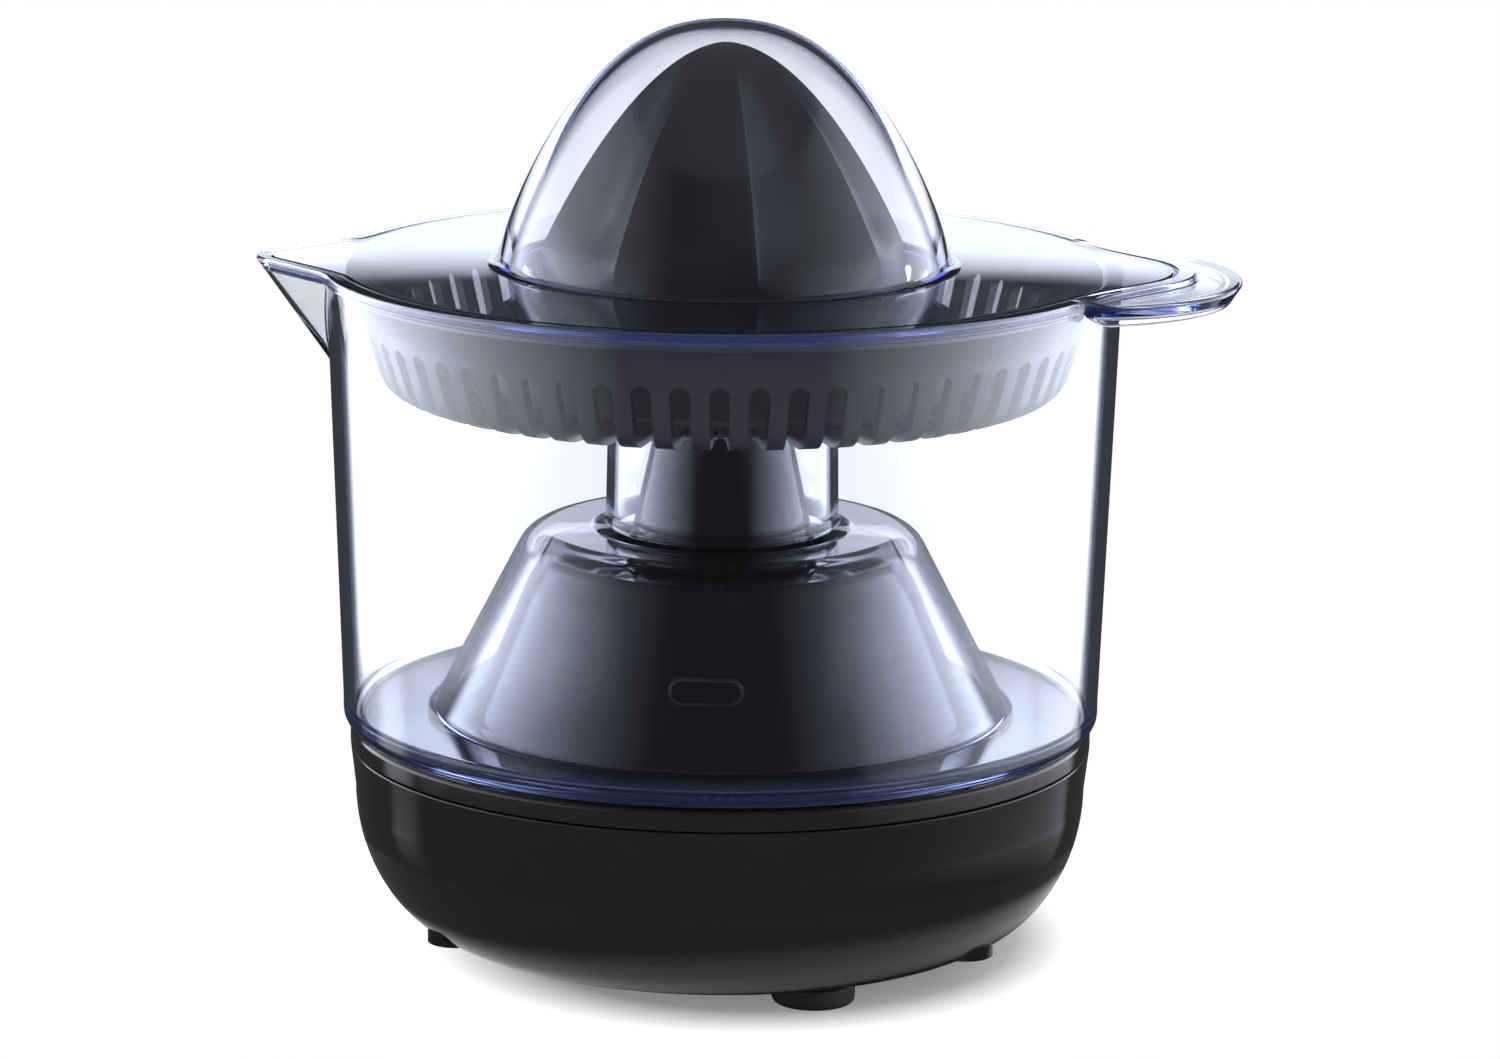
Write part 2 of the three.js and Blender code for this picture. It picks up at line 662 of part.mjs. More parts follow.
function buildChassisPlate() {
  const ears = FOOT_ANGLES.map((angle) =>
    union(
      rod(EAR_RADIUS, PLATE_BOTTOM, PLATE_TOP, polar(BOSS_RING, angle), SMALL),
      slab(spoke(angle, EAR_RADIUS), PLATE_BOTTOM, PLATE_TOP),
    ),
  );
  const posts = COVER_POST_ANGLES.map((angle) =>
    rod(COVER_POST_RADIUS, PLATE_TOP - 1, COVER_BOTTOM - GAP, polar(COVER_POST_RING, angle), SMALL),
  );
  const motorBosses = MOTOR_SCREWS.map((centre) =>
    rod(BOSS_RADIUS, STATOR_TOP + GAP, PLATE_BOTTOM + 1, centre, SMALL),
  );
  const plate = rod(PLATE_RADIUS, PLATE_BOTTOM, PLATE_TOP, OUTPUT_CENTRE, FINE);
  const holes = [
    ...FOOT_ANGLES.map((angle) => pilot(PLATE_BOTTOM - 1, PLATE_TOP + 1, polar(BOSS_RING, angle))),
    ...COVER_POST_ANGLES.map((angle) =>
      pilot(coverScrewTip() - GAP, COVER_BOTTOM, polar(COVER_POST_RING, angle)),
    ),
    ...MOTOR_SCREWS.map((centre) => pilot(STATOR_TOP, PLATE_TOP - 0.4, centre)),
    ...[FIRST_CENTRE, SECOND_CENTRE].map((centre) =>
      rod(PIN_RADIUS + BORE_CLEARANCE, PLATE_BOTTOM - 1, PLATE_TOP + 1, centre, SMALL),
    ),
    rod(ROTOR_SHAFT_RADIUS + BORE_CLEARANCE, PLATE_BOTTOM - 1, PLATE_TOP + 1, ROTOR_CENTRE, SMALL),
    rod(BUSH_RADIUS + GAP, PLATE_BOTTOM - 1, PLATE_TOP + 1),
  ];
  return cut(union(plate, ...ears, ...posts, ...motorBosses), ...holes);
}

/** Radial bar in plan from inside the plate's edge to an ear. */
function spoke(angle, halfWidth) {
  const corners = [
    [PLATE_RADIUS - 4, -halfWidth],
    [BOSS_RING, -halfWidth],
    [BOSS_RING, halfWidth],
    [PLATE_RADIUS - 4, halfWidth],
  ].map(([x, y]) => new THREE.Vector2(x, y).rotateAround(new THREE.Vector2(), radians(angle)));
  return new THREE.Shape(corners);
}

function coverScrewSeat() {
  return COVER_BOTTOM + COVER_THICKNESS + GAP;
}

function coverScrewTip() {
  return coverScrewSeat() - COVER_SCREW_LENGTH;
}

function buildGearboxCover() {
  const plate = rod(COVER_RADIUS, COVER_BOTTOM, coverScrewSeat() - GAP, OUTPUT_CENTRE, FINE);
  const holes = [
    rod(SHAFT_RADIUS + 1, COVER_BOTTOM - 1, coverScrewSeat()),
    ...COVER_POST_ANGLES.map((angle) =>
      pilot(COVER_BOTTOM - 1, coverScrewSeat(), polar(COVER_POST_RING, angle)),
    ),
    ...[FIRST_CENTRE, SECOND_CENTRE].map((centre) =>
      rod(PIN_RADIUS + BORE_CLEARANCE, COVER_BOTTOM - 1, coverScrewSeat(), centre, SMALL),
    ),
  ];
  return cut(plate, ...holes);
}

/** Gear blank with straight-flanked teeth; phase is the direction of the middle of one tooth. */
function toothedSlab(teeth, module, phase, bottom, face) {
  const pitch = (teeth * module) / 2;
  const tip = pitch + 0.8 * module;
  const root = pitch - 1.05 * module;
  const flank = Math.tan(radians(20));
  const half = Math.PI / (2 * teeth) - BACKLASH / (2 * pitch);
  const halfAtTip = half - (flank * (tip - pitch)) / pitch;
  const halfAtRoot = Math.min(half + (flank * (pitch - root)) / pitch, (0.93 * Math.PI) / teeth);
  const corners = [];
  for (let tooth = 0; tooth < teeth; tooth += 1) {
    const middle = phase + (2 * Math.PI * tooth) / teeth;
    [
      [root, -halfAtRoot],
      [tip, -halfAtTip],
      [tip, halfAtTip],
      [root, halfAtRoot],
    ].forEach(([radius, offset]) => {
      const angle = middle + offset;
      corners.push(new THREE.Vector2(radius * Math.cos(angle), radius * Math.sin(angle)));
    });
  }
  return slab(new THREE.Shape(corners), bottom, bottom + face);
}

/** Direction from one gear centre to the next, in radians. */
function towards(from, to) {
  return Math.atan2(to[1] - from[1], to[0] - from[0]);
}

/** Pinion that drives a stage: a tooth points at the wheel's centre. */
function stagePinion(stage, from, to, extra = 0) {
  const phase = towards(from, to);
  const body = toothedSlab(stage.pinion, stage.module, phase, stage.bottom, stage.face + extra);
  return body.translate([from[0], from[1], 0]);
}

/** Wheel of a stage: a gap points back at the pinion's centre. */
function stageWheel(stage, from, to) {
  const phase = towards(from, to) + Math.PI - Math.PI / stage.wheel;
  const body = toothedSlab(stage.wheel, stage.module, phase, stage.bottom, stage.face);
  return body.translate([to[0], to[1], 0]);
}

function idlerBore(centre) {
  return rod(PIN_RADIUS + BORE_CLEARANCE, PLATE_TOP, COVER_BOTTOM, centre, SMALL);
}

function buildFirstGear() {
  const wheel = stageWheel(FIRST_STAGE, ROTOR_CENTRE, FIRST_CENTRE);
  const stub = { ...SECOND_STAGE, bottom: SECOND_STAGE.bottom - 1.5 };
  const pinion = stagePinion(stub, FIRST_CENTRE, SECOND_CENTRE, 1.8);
  const spacer = rod(GEAR_HUB_RADIUS, SECOND_STAGE.bottom, COVER_BOTTOM - GAP, FIRST_CENTRE, SMALL);
  return cut(union(wheel, pinion, spacer), idlerBore(FIRST_CENTRE));
}

function buildSecondGear() {
  const wheel = stageWheel(SECOND_STAGE, FIRST_CENTRE, SECOND_CENTRE);
  const stub = { ...THIRD_STAGE, bottom: THIRD_STAGE.bottom - 1.5 };
  const pinion = stagePinion(stub, SECOND_CENTRE, OUTPUT_CENTRE, 2);
  const spacer = rod(GEAR_HUB_RADIUS, PLATE_TOP + GAP, COVER_BOTTOM - GAP, SECOND_CENTRE, SMALL);
  return cut(union(wheel, pinion, spacer), idlerBore(SECOND_CENTRE));
}

/** Round hole with two flats, for the flats of the shaft. */
function shaftBore(bottom, top) {
  const across = SHAFT_FLAT + BORE_CLEARANCE;
  const round = rod(SHAFT_RADIUS + BORE_CLEARANCE, bottom, top);
  const reach = SHAFT_RADIUS + 2;
  return round.intersect(block([-reach, reach], [-across, across], [bottom, top]));
}

function buildOutputGear() {
  const wheel = stageWheel(THIRD_STAGE, SECOND_CENTRE, OUTPUT_CENTRE);
  const hub = rod(HUB_RADIUS, HUB_BOTTOM, HUB_TOP);
  return cut(union(wheel, hub), shaftBore(HUB_BOTTOM - 1, HUB_TOP + 1));
}

function buildRotorPinion() {
  const body = stagePinion(FIRST_STAGE, ROTOR_CENTRE, FIRST_CENTRE);
  const bottom = FIRST_STAGE.bottom - 1;
  const top = FIRST_STAGE.bottom + FIRST_STAGE.face + 1;
  return cut(body, rod(PINION_SEAT_RADIUS + BORE_CLEARANCE, bottom, top, ROTOR_CENTRE, SMALL));
}

function buildGearPin(centre) {
  return rod(PIN_RADIUS, PLATE_BOTTOM, COVER_BOTTOM + COVER_THICKNESS, centre, SMALL);
}

place('chassis_plate', buildChassisPlate(), steel);
place('gearbox_cover', buildGearboxCover(), switchPlastic);
place('rotor_pinion', buildRotorPinion(), bronze);
place('first_gear', buildFirstGear(), gearPlastic);
place('second_gear', buildSecondGear(), gearPlastic);
place('output_gear', buildOutputGear(), gearPlastic);
place('first_gear_pin', buildGearPin(FIRST_CENTRE), steel);
place('second_gear_pin', buildGearPin(SECOND_CENTRE), steel);
FOOT_ANGLES.forEach((angle, i) => {
  const body = screw(PLATE_BOTTOM - GAP, CHASSIS_SCREW_LENGTH, polar(BOSS_RING, angle));
  place(`chassis_screw_${i + 1}`, body, steel);
});
COVER_POST_ANGLES.forEach((angle, i) => {
  const centre = polar(COVER_POST_RING, angle);
  place(`cover_screw_${i + 1}`, screw(coverScrewSeat(), COVER_SCREW_LENGTH, centre, true), steel);
});

// ---------------------------------------------------------------- motor

function statorOutline() {
  const [cx, cy] = ROTOR_CENTRE;
  const left = cx - STATOR_WIDTH / 2;
  const right = cx + STATOR_WIDTH / 2;
  const front = cy - STATOR_HEAD;
  const back = front + STATOR_LENGTH;
  const head = cy + STATOR_HEAD;
  const shape = new THREE.Shape([
    new THREE.Vector2(left + 4, front),
    new THREE.Vector2(right - 4, front),
    new THREE.Vector2(right, front + 4),
    new THREE.Vector2(right, back),
    new THREE.Vector2(right - LIMB_WIDTH, back),
    new THREE.Vector2(right - LIMB_WIDTH, head),
    new THREE.Vector2(left + LIMB_WIDTH, head),
    new THREE.Vector2(left + LIMB_WIDTH, back),
    new THREE.Vector2(left, back),
    new THREE.Vector2(left, front + 4),
  ]);
  return { shape, left, right, head, back };
}

const STATOR = statorOutline();
const BAR_BACK = STATOR.back;
const BAR_FRONT = BAR_BACK - CORE_BAR_WIDTH;
const BAR_LEFT = STATOR.left + LIMB_WIDTH + GAP;
const BAR_RIGHT = STATOR.right - LIMB_WIDTH - GAP;

function buildStatorFrame() {
  const stack = slab(STATOR.shape, STATOR_BOTTOM, STATOR_TOP);
  const bore = rod(
    ROTOR_RADIUS + ROTOR_AIR_GAP,
    STATOR_BOTTOM - 1,
    STATOR_TOP + 1,
    ROTOR_CENTRE,
    FINE,
  );
  const screws = MOTOR_SCREWS.map((centre) => pilot(STATOR_BOTTOM - 1, STATOR_TOP + 1, centre));
  return cut(stack, bore, ...screws);
}

/** Box round the core bar, grown by a margin across the bar and shrunk at its ends. */
function roundBar(margin, endMargin) {
  return block(
    [BAR_LEFT + endMargin, BAR_RIGHT - endMargin],
    [BAR_FRONT - margin, BAR_BACK + margin],
    [STATOR_BOTTOM - margin, STATOR_TOP + margin],
  );
}

function buildBobbin() {
  const sleeve = GAP + BOBBIN_WALL;
  const flange = sleeve + COIL_BUILD;
  const length = BAR_RIGHT - BAR_LEFT;
  const body = union(
    roundBar(sleeve, GAP),
    block(
      [BAR_LEFT + GAP, BAR_LEFT + GAP + BOBBIN_WALL],
      [BAR_FRONT - flange, BAR_BACK + flange],
      [STATOR_BOTTOM - flange, STATOR_TOP + flange],
    ),
    block(
      [BAR_LEFT + length - GAP - BOBBIN_WALL, BAR_LEFT + length - GAP],
      [BAR_FRONT - flange, BAR_BACK + flange],
      [STATOR_BOTTOM - flange, STATOR_TOP + flange],
    ),
  );
  return cut(body, roundBar(GAP, -1));
}

function buildWinding() {
  const sleeve = GAP + BOBBIN_WALL + GAP;
  const end = GAP + BOBBIN_WALL + GAP;
  return cut(roundBar(sleeve + COIL_BUILD - 2 * GAP, end), roundBar(sleeve, -1));
}

function buildRotor() {
  const shaftTop = FIRST_STAGE.bottom + FIRST_STAGE.face + 0.8;
  const profile = [
    at(0, BRACKET_BOTTOM - 0.8),
    at(ROTOR_SHAFT_RADIUS, BRACKET_BOTTOM - 0.8),
    at(ROTOR_SHAFT_RADIUS, STATOR_BOTTOM + 0.5),
    at(ROTOR_RADIUS, STATOR_BOTTOM + 0.5),
    at(ROTOR_RADIUS, STATOR_TOP - 0.5),
    at(ROTOR_SHAFT_RADIUS, STATOR_TOP - 0.5),
    at(ROTOR_SHAFT_RADIUS, PLATE_TOP + GAP),
    at(PINION_SEAT_RADIUS, PLATE_TOP + GAP),
    at(PINION_SEAT_RADIUS, shaftTop),
    at(0, shaftTop),
  ];
  return revolve(profile, COARSE, ROTOR_CENTRE);
}

/** Strap under the stator with the rotor's lower bearing and two spacers for its screws. */
function buildRotorBracket() {
  const top = BRACKET_BOTTOM + BRACKET_THICKNESS;
  const angle = towards(MOTOR_SCREWS[0], MOTOR_SCREWS[1]);
  const reach = Math.hypot(...MOTOR_SCREW_OFFSET);
  const half = BRACKET_WIDTH / 2;
  const strap = new THREE.Shape();
  strap.absarc(reach, 0, half, -Math.PI / 2, Math.PI / 2, false);
  strap.absarc(-reach, 0, half, Math.PI / 2, (3 * Math.PI) / 2, false);
  const bar = slab(strap, BRACKET_BOTTOM, top)
    .rotate([0, 0, THREE.MathUtils.radToDeg(angle)])
    .translate([ROTOR_CENTRE[0], ROTOR_CENTRE[1], 0]);
  const spacers = MOTOR_SCREWS.map((centre) =>
    rod(half - 1, top - 1, STATOR_BOTTOM - GAP, centre, SMALL),
  );
  const boss = rod(half - 0.5, top - 1, top + 1.6, ROTOR_CENTRE, SMALL);
  const holes = [
    ...MOTOR_SCREWS.map((centre) => pilot(BRACKET_BOTTOM - 1, STATOR_BOTTOM, centre)),
    rod(
      ROTOR_SHAFT_RADIUS + BORE_CLEARANCE,
      BRACKET_BOTTOM - 1,
      STATOR_BOTTOM,
      ROTOR_CENTRE,
      SMALL,
    ),
  ];
  return cut(union(bar, boss, ...spacers), ...holes);
}

place('stator_frame', buildStatorFrame(), lamination);
place('stator_bar', roundBar(0, 0), lamination);
place('coil_bobbin', buildBobbin(), bobbinPlastic);
place('coil_winding', buildWinding(), copper);
place('rotor', buildRotor(), lamination);
place('rotor_bracket', buildRotorBracket(), steel);
MOTOR_SCREWS.forEach((centre, i) => {
  const length = PLATE_TOP - 0.8 - BRACKET_BOTTOM + GAP;
  place(`motor_screw_${i + 1}`, screw(BRACKET_BOTTOM - GAP, length, centre), steel);
});

// ---------------------------------------------------------------- drive shaft and switch

function buildDriveShaft() {
  const collarTop = COLLAR_BOTTOM + COLLAR_HEIGHT;
  const turned = revolve(
    [
      at(0, SHAFT_BOTTOM),
      at(SHAFT_RADIUS - 1, SHAFT_BOTTOM),
      at(SHAFT_RADIUS, SHAFT_BOTTOM + 1),
      at(SHAFT_RADIUS, COLLAR_BOTTOM),
      at(COLLAR_RADIUS, COLLAR_BOTTOM),
      at(COLLAR_RADIUS, collarTop),
      at(SHAFT_RADIUS, collarTop),
      at(SHAFT_RADIUS, SHAFT_HEX_BOTTOM),
      at(0, SHAFT_HEX_BOTTOM),
    ],
    COARSE,
  );
  const reach = SHAFT_RADIUS + 1;
  const flats = [-1, 1].map((side) => {
    const across = side > 0 ? [SHAFT_FLAT, reach] : [-reach, -SHAFT_FLAT];
    return block([-reach, reach], across, [collarTop, SHAFT_FLATS_TOP]);
  });
  const hexEnd = rod(SHAFT_RADIUS, SHAFT_HEX_BOTTOM - 1, SHAFT_TOP, OUTPUT_CENTRE, HEX);
  return union(cut(turned, ...flats), hexEnd);
}

function buildLowerBush() {
  const bore = SHAFT_RADIUS + BORE_CLEARANCE;
  const flangeBottom = PLATE_TOP + GAP;
  return ring(
    [
      at(bore, BUSH_TOP - BUSH_LENGTH),
      at(BUSH_RADIUS, BUSH_TOP - BUSH_LENGTH),
      at(BUSH_RADIUS, flangeBottom),
      at(BUSH_FLANGE_RADIUS, flangeBottom),
      at(BUSH_FLANGE_RADIUS, BUSH_TOP),
      at(bore, BUSH_TOP),
    ],
    COARSE,
  );
}

function buildUpperBush() {
  const top = TOWER_TOP - SEAL_RECESS - TOWER_CEILING - GAP;
  return tube(UPPER_BUSH_RADIUS, SHAFT_RADIUS + BORE_CLEARANCE, top - UPPER_BUSH_HEIGHT, top);
}

function buildSeal() {
  const bottom = TOWER_TOP - SEAL_RECESS + GAP;
  return tube(SEAL_RADIUS, SHAFT_RADIUS + BORE_CLEARANCE, bottom, bottom + SEAL_HEIGHT);
}

/** Compression spring between the lower bush and the shaft's collar. */
function buildSpring() {
  const bottom = BUSH_TOP + GAP + SPRING_WIRE;
  const rise = COLLAR_BOTTOM - GAP - SPRING_WIRE - bottom;
  class Helix extends THREE.Curve {
    getPoint(t, target = new THREE.Vector3()) {
      const angle = 2 * Math.PI * SPRING_TURNS * t;
      const x = SPRING_MEAN_RADIUS * Math.cos(angle);
      return target.set(x, SPRING_MEAN_RADIUS * Math.sin(angle), bottom + rise * t);
    }
  }
  const settings = { extrudePath: new Helix(), steps: 25, bevelEnabled: false, curveSegments: 3 };
  return solid(new THREE.ExtrudeGeometry(circleShape(SPRING_WIRE), settings));
}

function buildSwitchBody() {
  const body = block(
    [SWITCH_NEAR_X, SWITCH_FAR_X],
    [-SWITCH_HALF_WIDTH, SWITCH_HALF_WIDTH],
    [FLOOR_TOP + GAP, SWITCH_TOP],
  );
  const ears = [-1, 1].map((side) => {
    const near = side * (LEVER_HALF_WIDTH + GAP);
    const far = side * SWITCH_HALF_WIDTH;
    return block(
      [LEVER_HINGE_X - 1.6, SWITCH_FAR_X],
      [Math.min(near, far), Math.max(near, far)],
      [SWITCH_TOP - 1, LEVER_HINGE_Z + LEVER_PIN_RADIUS + 0.8],
    );
  });
  const pinHole = hingeBar(LEVER_PIN_RADIUS + BORE_CLEARANCE, SWITCH_HALF_WIDTH + 1);
  const well = rod(
    PLUNGER_RADIUS + BORE_CLEARANCE,
    plungerTop() - PLUNGER_DEPTH - 2.5,
    SWITCH_TOP + 1,
    [PLUNGER_X, 0],
    SMALL,
  );
  return cut(union(body, ...ears), pinHole, well);
}

/** Bar along Y through the lever's hinge. */
function hingeBar(radius, halfLength) {
  const geometry = new THREE.CylinderGeometry(radius, radius, 2 * halfLength, SMALL);
  return solid(geometry.translate(LEVER_HINGE_X, 0, LEVER_HINGE_Z));
}

function leverTop() {
  return SHAFT_BOTTOM - GAP;
}

function plungerTop() {
  return leverTop() - LEVER_THICKNESS - GAP;
}

/** Leaf under the shaft's end; its hinge pin is part of it. */
function buildLever() {
  const leaf = block(
    [LEVER_TIP_X, LEVER_HINGE_X],
    [-LEVER_HALF_WIDTH, LEVER_HALF_WIDTH],
    [leverTop() - LEVER_THICKNESS, leverTop()],
  );
  return union(leaf, hingeBar(LEVER_PIN_RADIUS, SWITCH_HALF_WIDTH));
}

function buildPlunger() {
  return rod(PLUNGER_RADIUS, plungerTop() - PLUNGER_DEPTH, plungerTop(), [PLUNGER_X, 0], SMALL);
}

place('drive_shaft', buildDriveShaft(), steel);
place('lower_shaft_bush', buildLowerBush(), bronze);
place('upper_shaft_bush', buildUpperBush(), bronze);
place('shaft_seal', buildSeal(), rubber);
place('return_spring', buildSpring(), steel);
place('microswitch_body', buildSwitchBody(), switchPlastic);
place('switch_lever', buildLever(), steel);
place('switch_plunger', buildPlunger(), bobbinPlastic);

// ---------------------------------------------------------------- plan outlines of cover and jug

/**
 * Pointed lobe in plan, round at its tip and open towards the axis. It points along +X or -X,
 * and its straight sides run inwards until they are inside the brim.
 */
function lobeShape(tip, tipRadius, direction) {
  const side = radians(LOBE_HALF_ANGLE);
  const centre = tip - tipRadius;
  const turn = Math.PI / 2 - side;
  const points = [];
  for (let i = 0; i <= 6; i += 1) {
    const angle = -turn + (2 * turn * i) / 6;
    points.push([centre + tipRadius * Math.cos(angle), tipRadius * Math.sin(angle)]);
  }
  const [tangentX, tangentY] = points[6];
  const rootX = LID_RADIUS - LOBE_ROOT;
  const rootY = tangentY + (tangentX - rootX) * Math.tan(side);
  points.push([rootX, rootY], [rootX, -rootY]);
  return new THREE.Shape(points.map(([x, y]) => new THREE.Vector2(direction * x, direction * y)));
}

// ---------------------------------------------------------------- jug

function jugProfile() {
  const rimInner = LID_RADIUS + GAP;
  const bandBottom = JUG_RIM_TOP - JUG_RIM_BAND;
  const wallInnerTop = JUG_NECK_RADIUS - JUG_WALL;
  const corner = JUG_BOTTOM + JUG_CORNER;
  const shoulderRise = JUG_SHOULDER_TOP - JUG_CONE_SHOULDER_Z;
  const shoulderIn = JUG_CONE_SHOULDER_RADIUS - 1.2 * shoulderRise;
  const wall = JUG_WALL;
  const outer = [
    at(JUG_CONE_FOOT_RADIUS + 0.8, JUG_BOTTOM),
    ...arc(JUG_FOOT_RADIUS - JUG_CORNER, corner, JUG_CORNER, JUG_CORNER, -90, 0, 2),
    at(JUG_NECK_RADIUS, bandBottom - 1),
    at(JUG_RIM_RADIUS, bandBottom),
    at(JUG_RIM_RADIUS, JUG_RIM_TOP - 0.5),
    at(JUG_RIM_RADIUS - 0.5, JUG_RIM_TOP),
  ];
  const inner = [
    at(rimInner, JUG_RIM_TOP),
    at(wallInnerTop, bandBottom - 1),
    ...arc(
      JUG_FOOT_RADIUS - JUG_CORNER,
      corner + 0.8,
      JUG_CORNER - JUG_WALL,
      corner + 0.8 - JUG_FLOOR,
      0,
      -90,
      2,
    ),
    at(JUG_CONE_FOOT_RADIUS + 1.5, JUG_FLOOR),
    at(JUG_CONE_FOOT_RADIUS - 0.6, JUG_FLOOR + 1.2),
    at(JUG_CONE_SHOULDER_RADIUS, JUG_CONE_SHOULDER_Z),
    ...arc(shoulderIn, JUG_CONE_SHOULDER_Z, 1.2 * shoulderRise, shoulderRise, 30, 80, 2),
    at(CHIMNEY_RADIUS + 2.4, JUG_SHOULDER_TOP + 0.5),
    at(CHIMNEY_RADIUS, JUG_SHOULDER_TOP + 3),
    at(CHIMNEY_RADIUS - 0.5, CHIMNEY_TOP),
  ];
  const under = [
    at(CHIMNEY_RADIUS - 0.5 - CHIMNEY_WALL, CHIMNEY_TOP),
    at(CHIMNEY_RADIUS - CHIMNEY_WALL, JUG_SHOULDER_TOP + 1.6),
    at(CHIMNEY_RADIUS + 1.2, JUG_SHOULDER_TOP - wall),
    at(shoulderIn + 1.5, JUG_SHOULDER_TOP - wall - 0.4),
    at(JUG_CONE_SHOULDER_RADIUS - wall, JUG_CONE_SHOULDER_Z - 0.6),
    at(JUG_CONE_FOOT_RADIUS - 1.2, JUG_BOTTOM + 1),
  ];
  return [...outer, ...inner, ...under];
}

/** Beak-shaped wedge: a lobe outline at the top that runs down to one point on the wall. */
function beak(tip, tipRadius, top, apex) {
  const outline = lobeShape(tip, tipRadius, -1).getPoints(1);
  const unique = outline.filter((p, i) => i === 0 || p.distanceTo(outline[i - 1]) > 1e-6);
  if (unique[0].distanceTo(unique[unique.length - 1]) < 1e-6) unique.pop();
  const faces = THREE.ShapeUtils.triangulateShape(unique, []);
  const positions = [...unique.flatMap((p) => [p.x, p.y, top]), ...apex];
  const last = unique.length;
  const index = faces.flat();
  for (let i = 0; i < last; i += 1) {
    index.push((i + 1) % last, i, last);
  }
  const geometry = new THREE.BufferGeometry();
  geometry.setAttribute('position', new THREE.Float32BufferAttribute(positions, 3));
  geometry.setIndex(index);
  return solid(geometry);
}

/** Disc of the ear handle, whose edge leans in towards the bottom. */
function handleDisc(inset, bottom, top) {
  const lean = HANDLE_SKIRT_LEAN / (HANDLE_SKIRT - HANDLE_STEP);
  const plateTop = JUG_RIM_TOP - HANDLE_STEP;
  const edge = (height) => HANDLE_RADIUS - inset - lean * (plateTop - height);
  return revolve(
    [at(0, bottom), at(edge(bottom), bottom), at(edge(top), top), at(0, top)],
    FINE,
    [HANDLE_CENTRE, 0],
  );
}

/** Spout: an upright lip at the top, and below it a V that runs down to a point on the wall. */
function spoutBody(tip, tipRadius, apexRadius, apexZ, lipBottom, top) {
  const lip = slab(lobeShape(tip, tipRadius, -1), lipBottom, top);
  return union(lip, beak(tip, tipRadius, lipBottom + 0.01, [-apexRadius, 0, apexZ]));
}

/** Ear handle: a plate with a skirt along its edge and a ridge round the cover's lobe. */
function buildHandle() {
  const plateBottom = LOBE_SEAT - HANDLE_PLATE;
  const skirtBottom = JUG_RIM_TOP - HANDLE_SKIRT;
  const whole = handleDisc(0, skirtBottom, JUG_RIM_TOP - HANDLE_STEP);
  const under = handleDisc(HANDLE_SKIRT_WALL, skirtBottom - 1, plateBottom);
  const ridgeTip = LOBE_TIP_HANDLE + LOBE_CLEARANCE + HANDLE_RIDGE;
  const ridgeShape = lobeShape(ridgeTip, LOBE_TIP_RADIUS + HANDLE_RIDGE, 1);
  return union(cut(whole, under), slab(ridgeShape, plateBottom, JUG_RIM_TOP));
}

function buildJug() {
  const body = ring(jugProfile());
  const wallMiddle = JUG_NECK_RADIUS - JUG_WALL / 2;
  const bowlBottom = SPOUT_BOTTOM_Z - 5;
  const bowl = rod(
    JUG_NECK_RADIUS - JUG_WALL,
    bowlBottom,
    JUG_RIM_TOP + 1,
    OUTPUT_CENTRE,
    FINE,
  );
  const spout = spoutBody(
    SPOUT_REACH,
    LOBE_TIP_RADIUS + SPOUT_WALL,
    wallMiddle,
    SPOUT_BOTTOM_Z,
    LOBE_SEAT,
    JUG_RIM_TOP,
  );
  const channel = spoutBody(
    LOBE_TIP_SPOUT + LOBE_CLEARANCE,
    LOBE_TIP_RADIUS,
    wallMiddle - SPOUT_WALL,
    SPOUT_BOTTOM_Z + SPOUT_WALL / 2,
    LOBE_SEAT,
    JUG_RIM_TOP + 1,
  );
  const pocket = slab(
    lobeShape(LOBE_TIP_HANDLE + LOBE_CLEARANCE, LOBE_TIP_RADIUS, 1),
    LOBE_SEAT,
    JUG_RIM_TOP + 1,
  );
  const recess = rod(LID_RADIUS + GAP, LOBE_SEAT, JUG_RIM_TOP + 1, OUTPUT_CENTRE, FINE);
  const whole = union(body, cut(union(spout, buildHandle()), bowl));
  return cut(whole, channel, pocket, recess);
}

// ---------------------------------------------------------------- strainer

/** Rim and plain upper wall of the basket, above the slots. */
function buildStrainerRim() {
  const rimBottom = STRAINER_RIM_TOP - STRAINER_RIM_HEIGHT;
  const neck = STRAINER_RIM_RADIUS - 1.8;
  return ring(
    [
      at(STRAINER_WALL_FOOT, SLOT_TOP),
      at(neck, rimBottom),
      at(STRAINER_RIM_RADIUS, rimBottom),
      at(STRAINER_RIM_RADIUS, STRAINER_RIM_TOP),
      at(neck - STRAINER_WALL, STRAINER_RIM_TOP),
      at(STRAINER_WALL_FOOT - STRAINER_WALL, SLOT_TOP),
    ],
    BAR_COUNT / 2,
  );
}

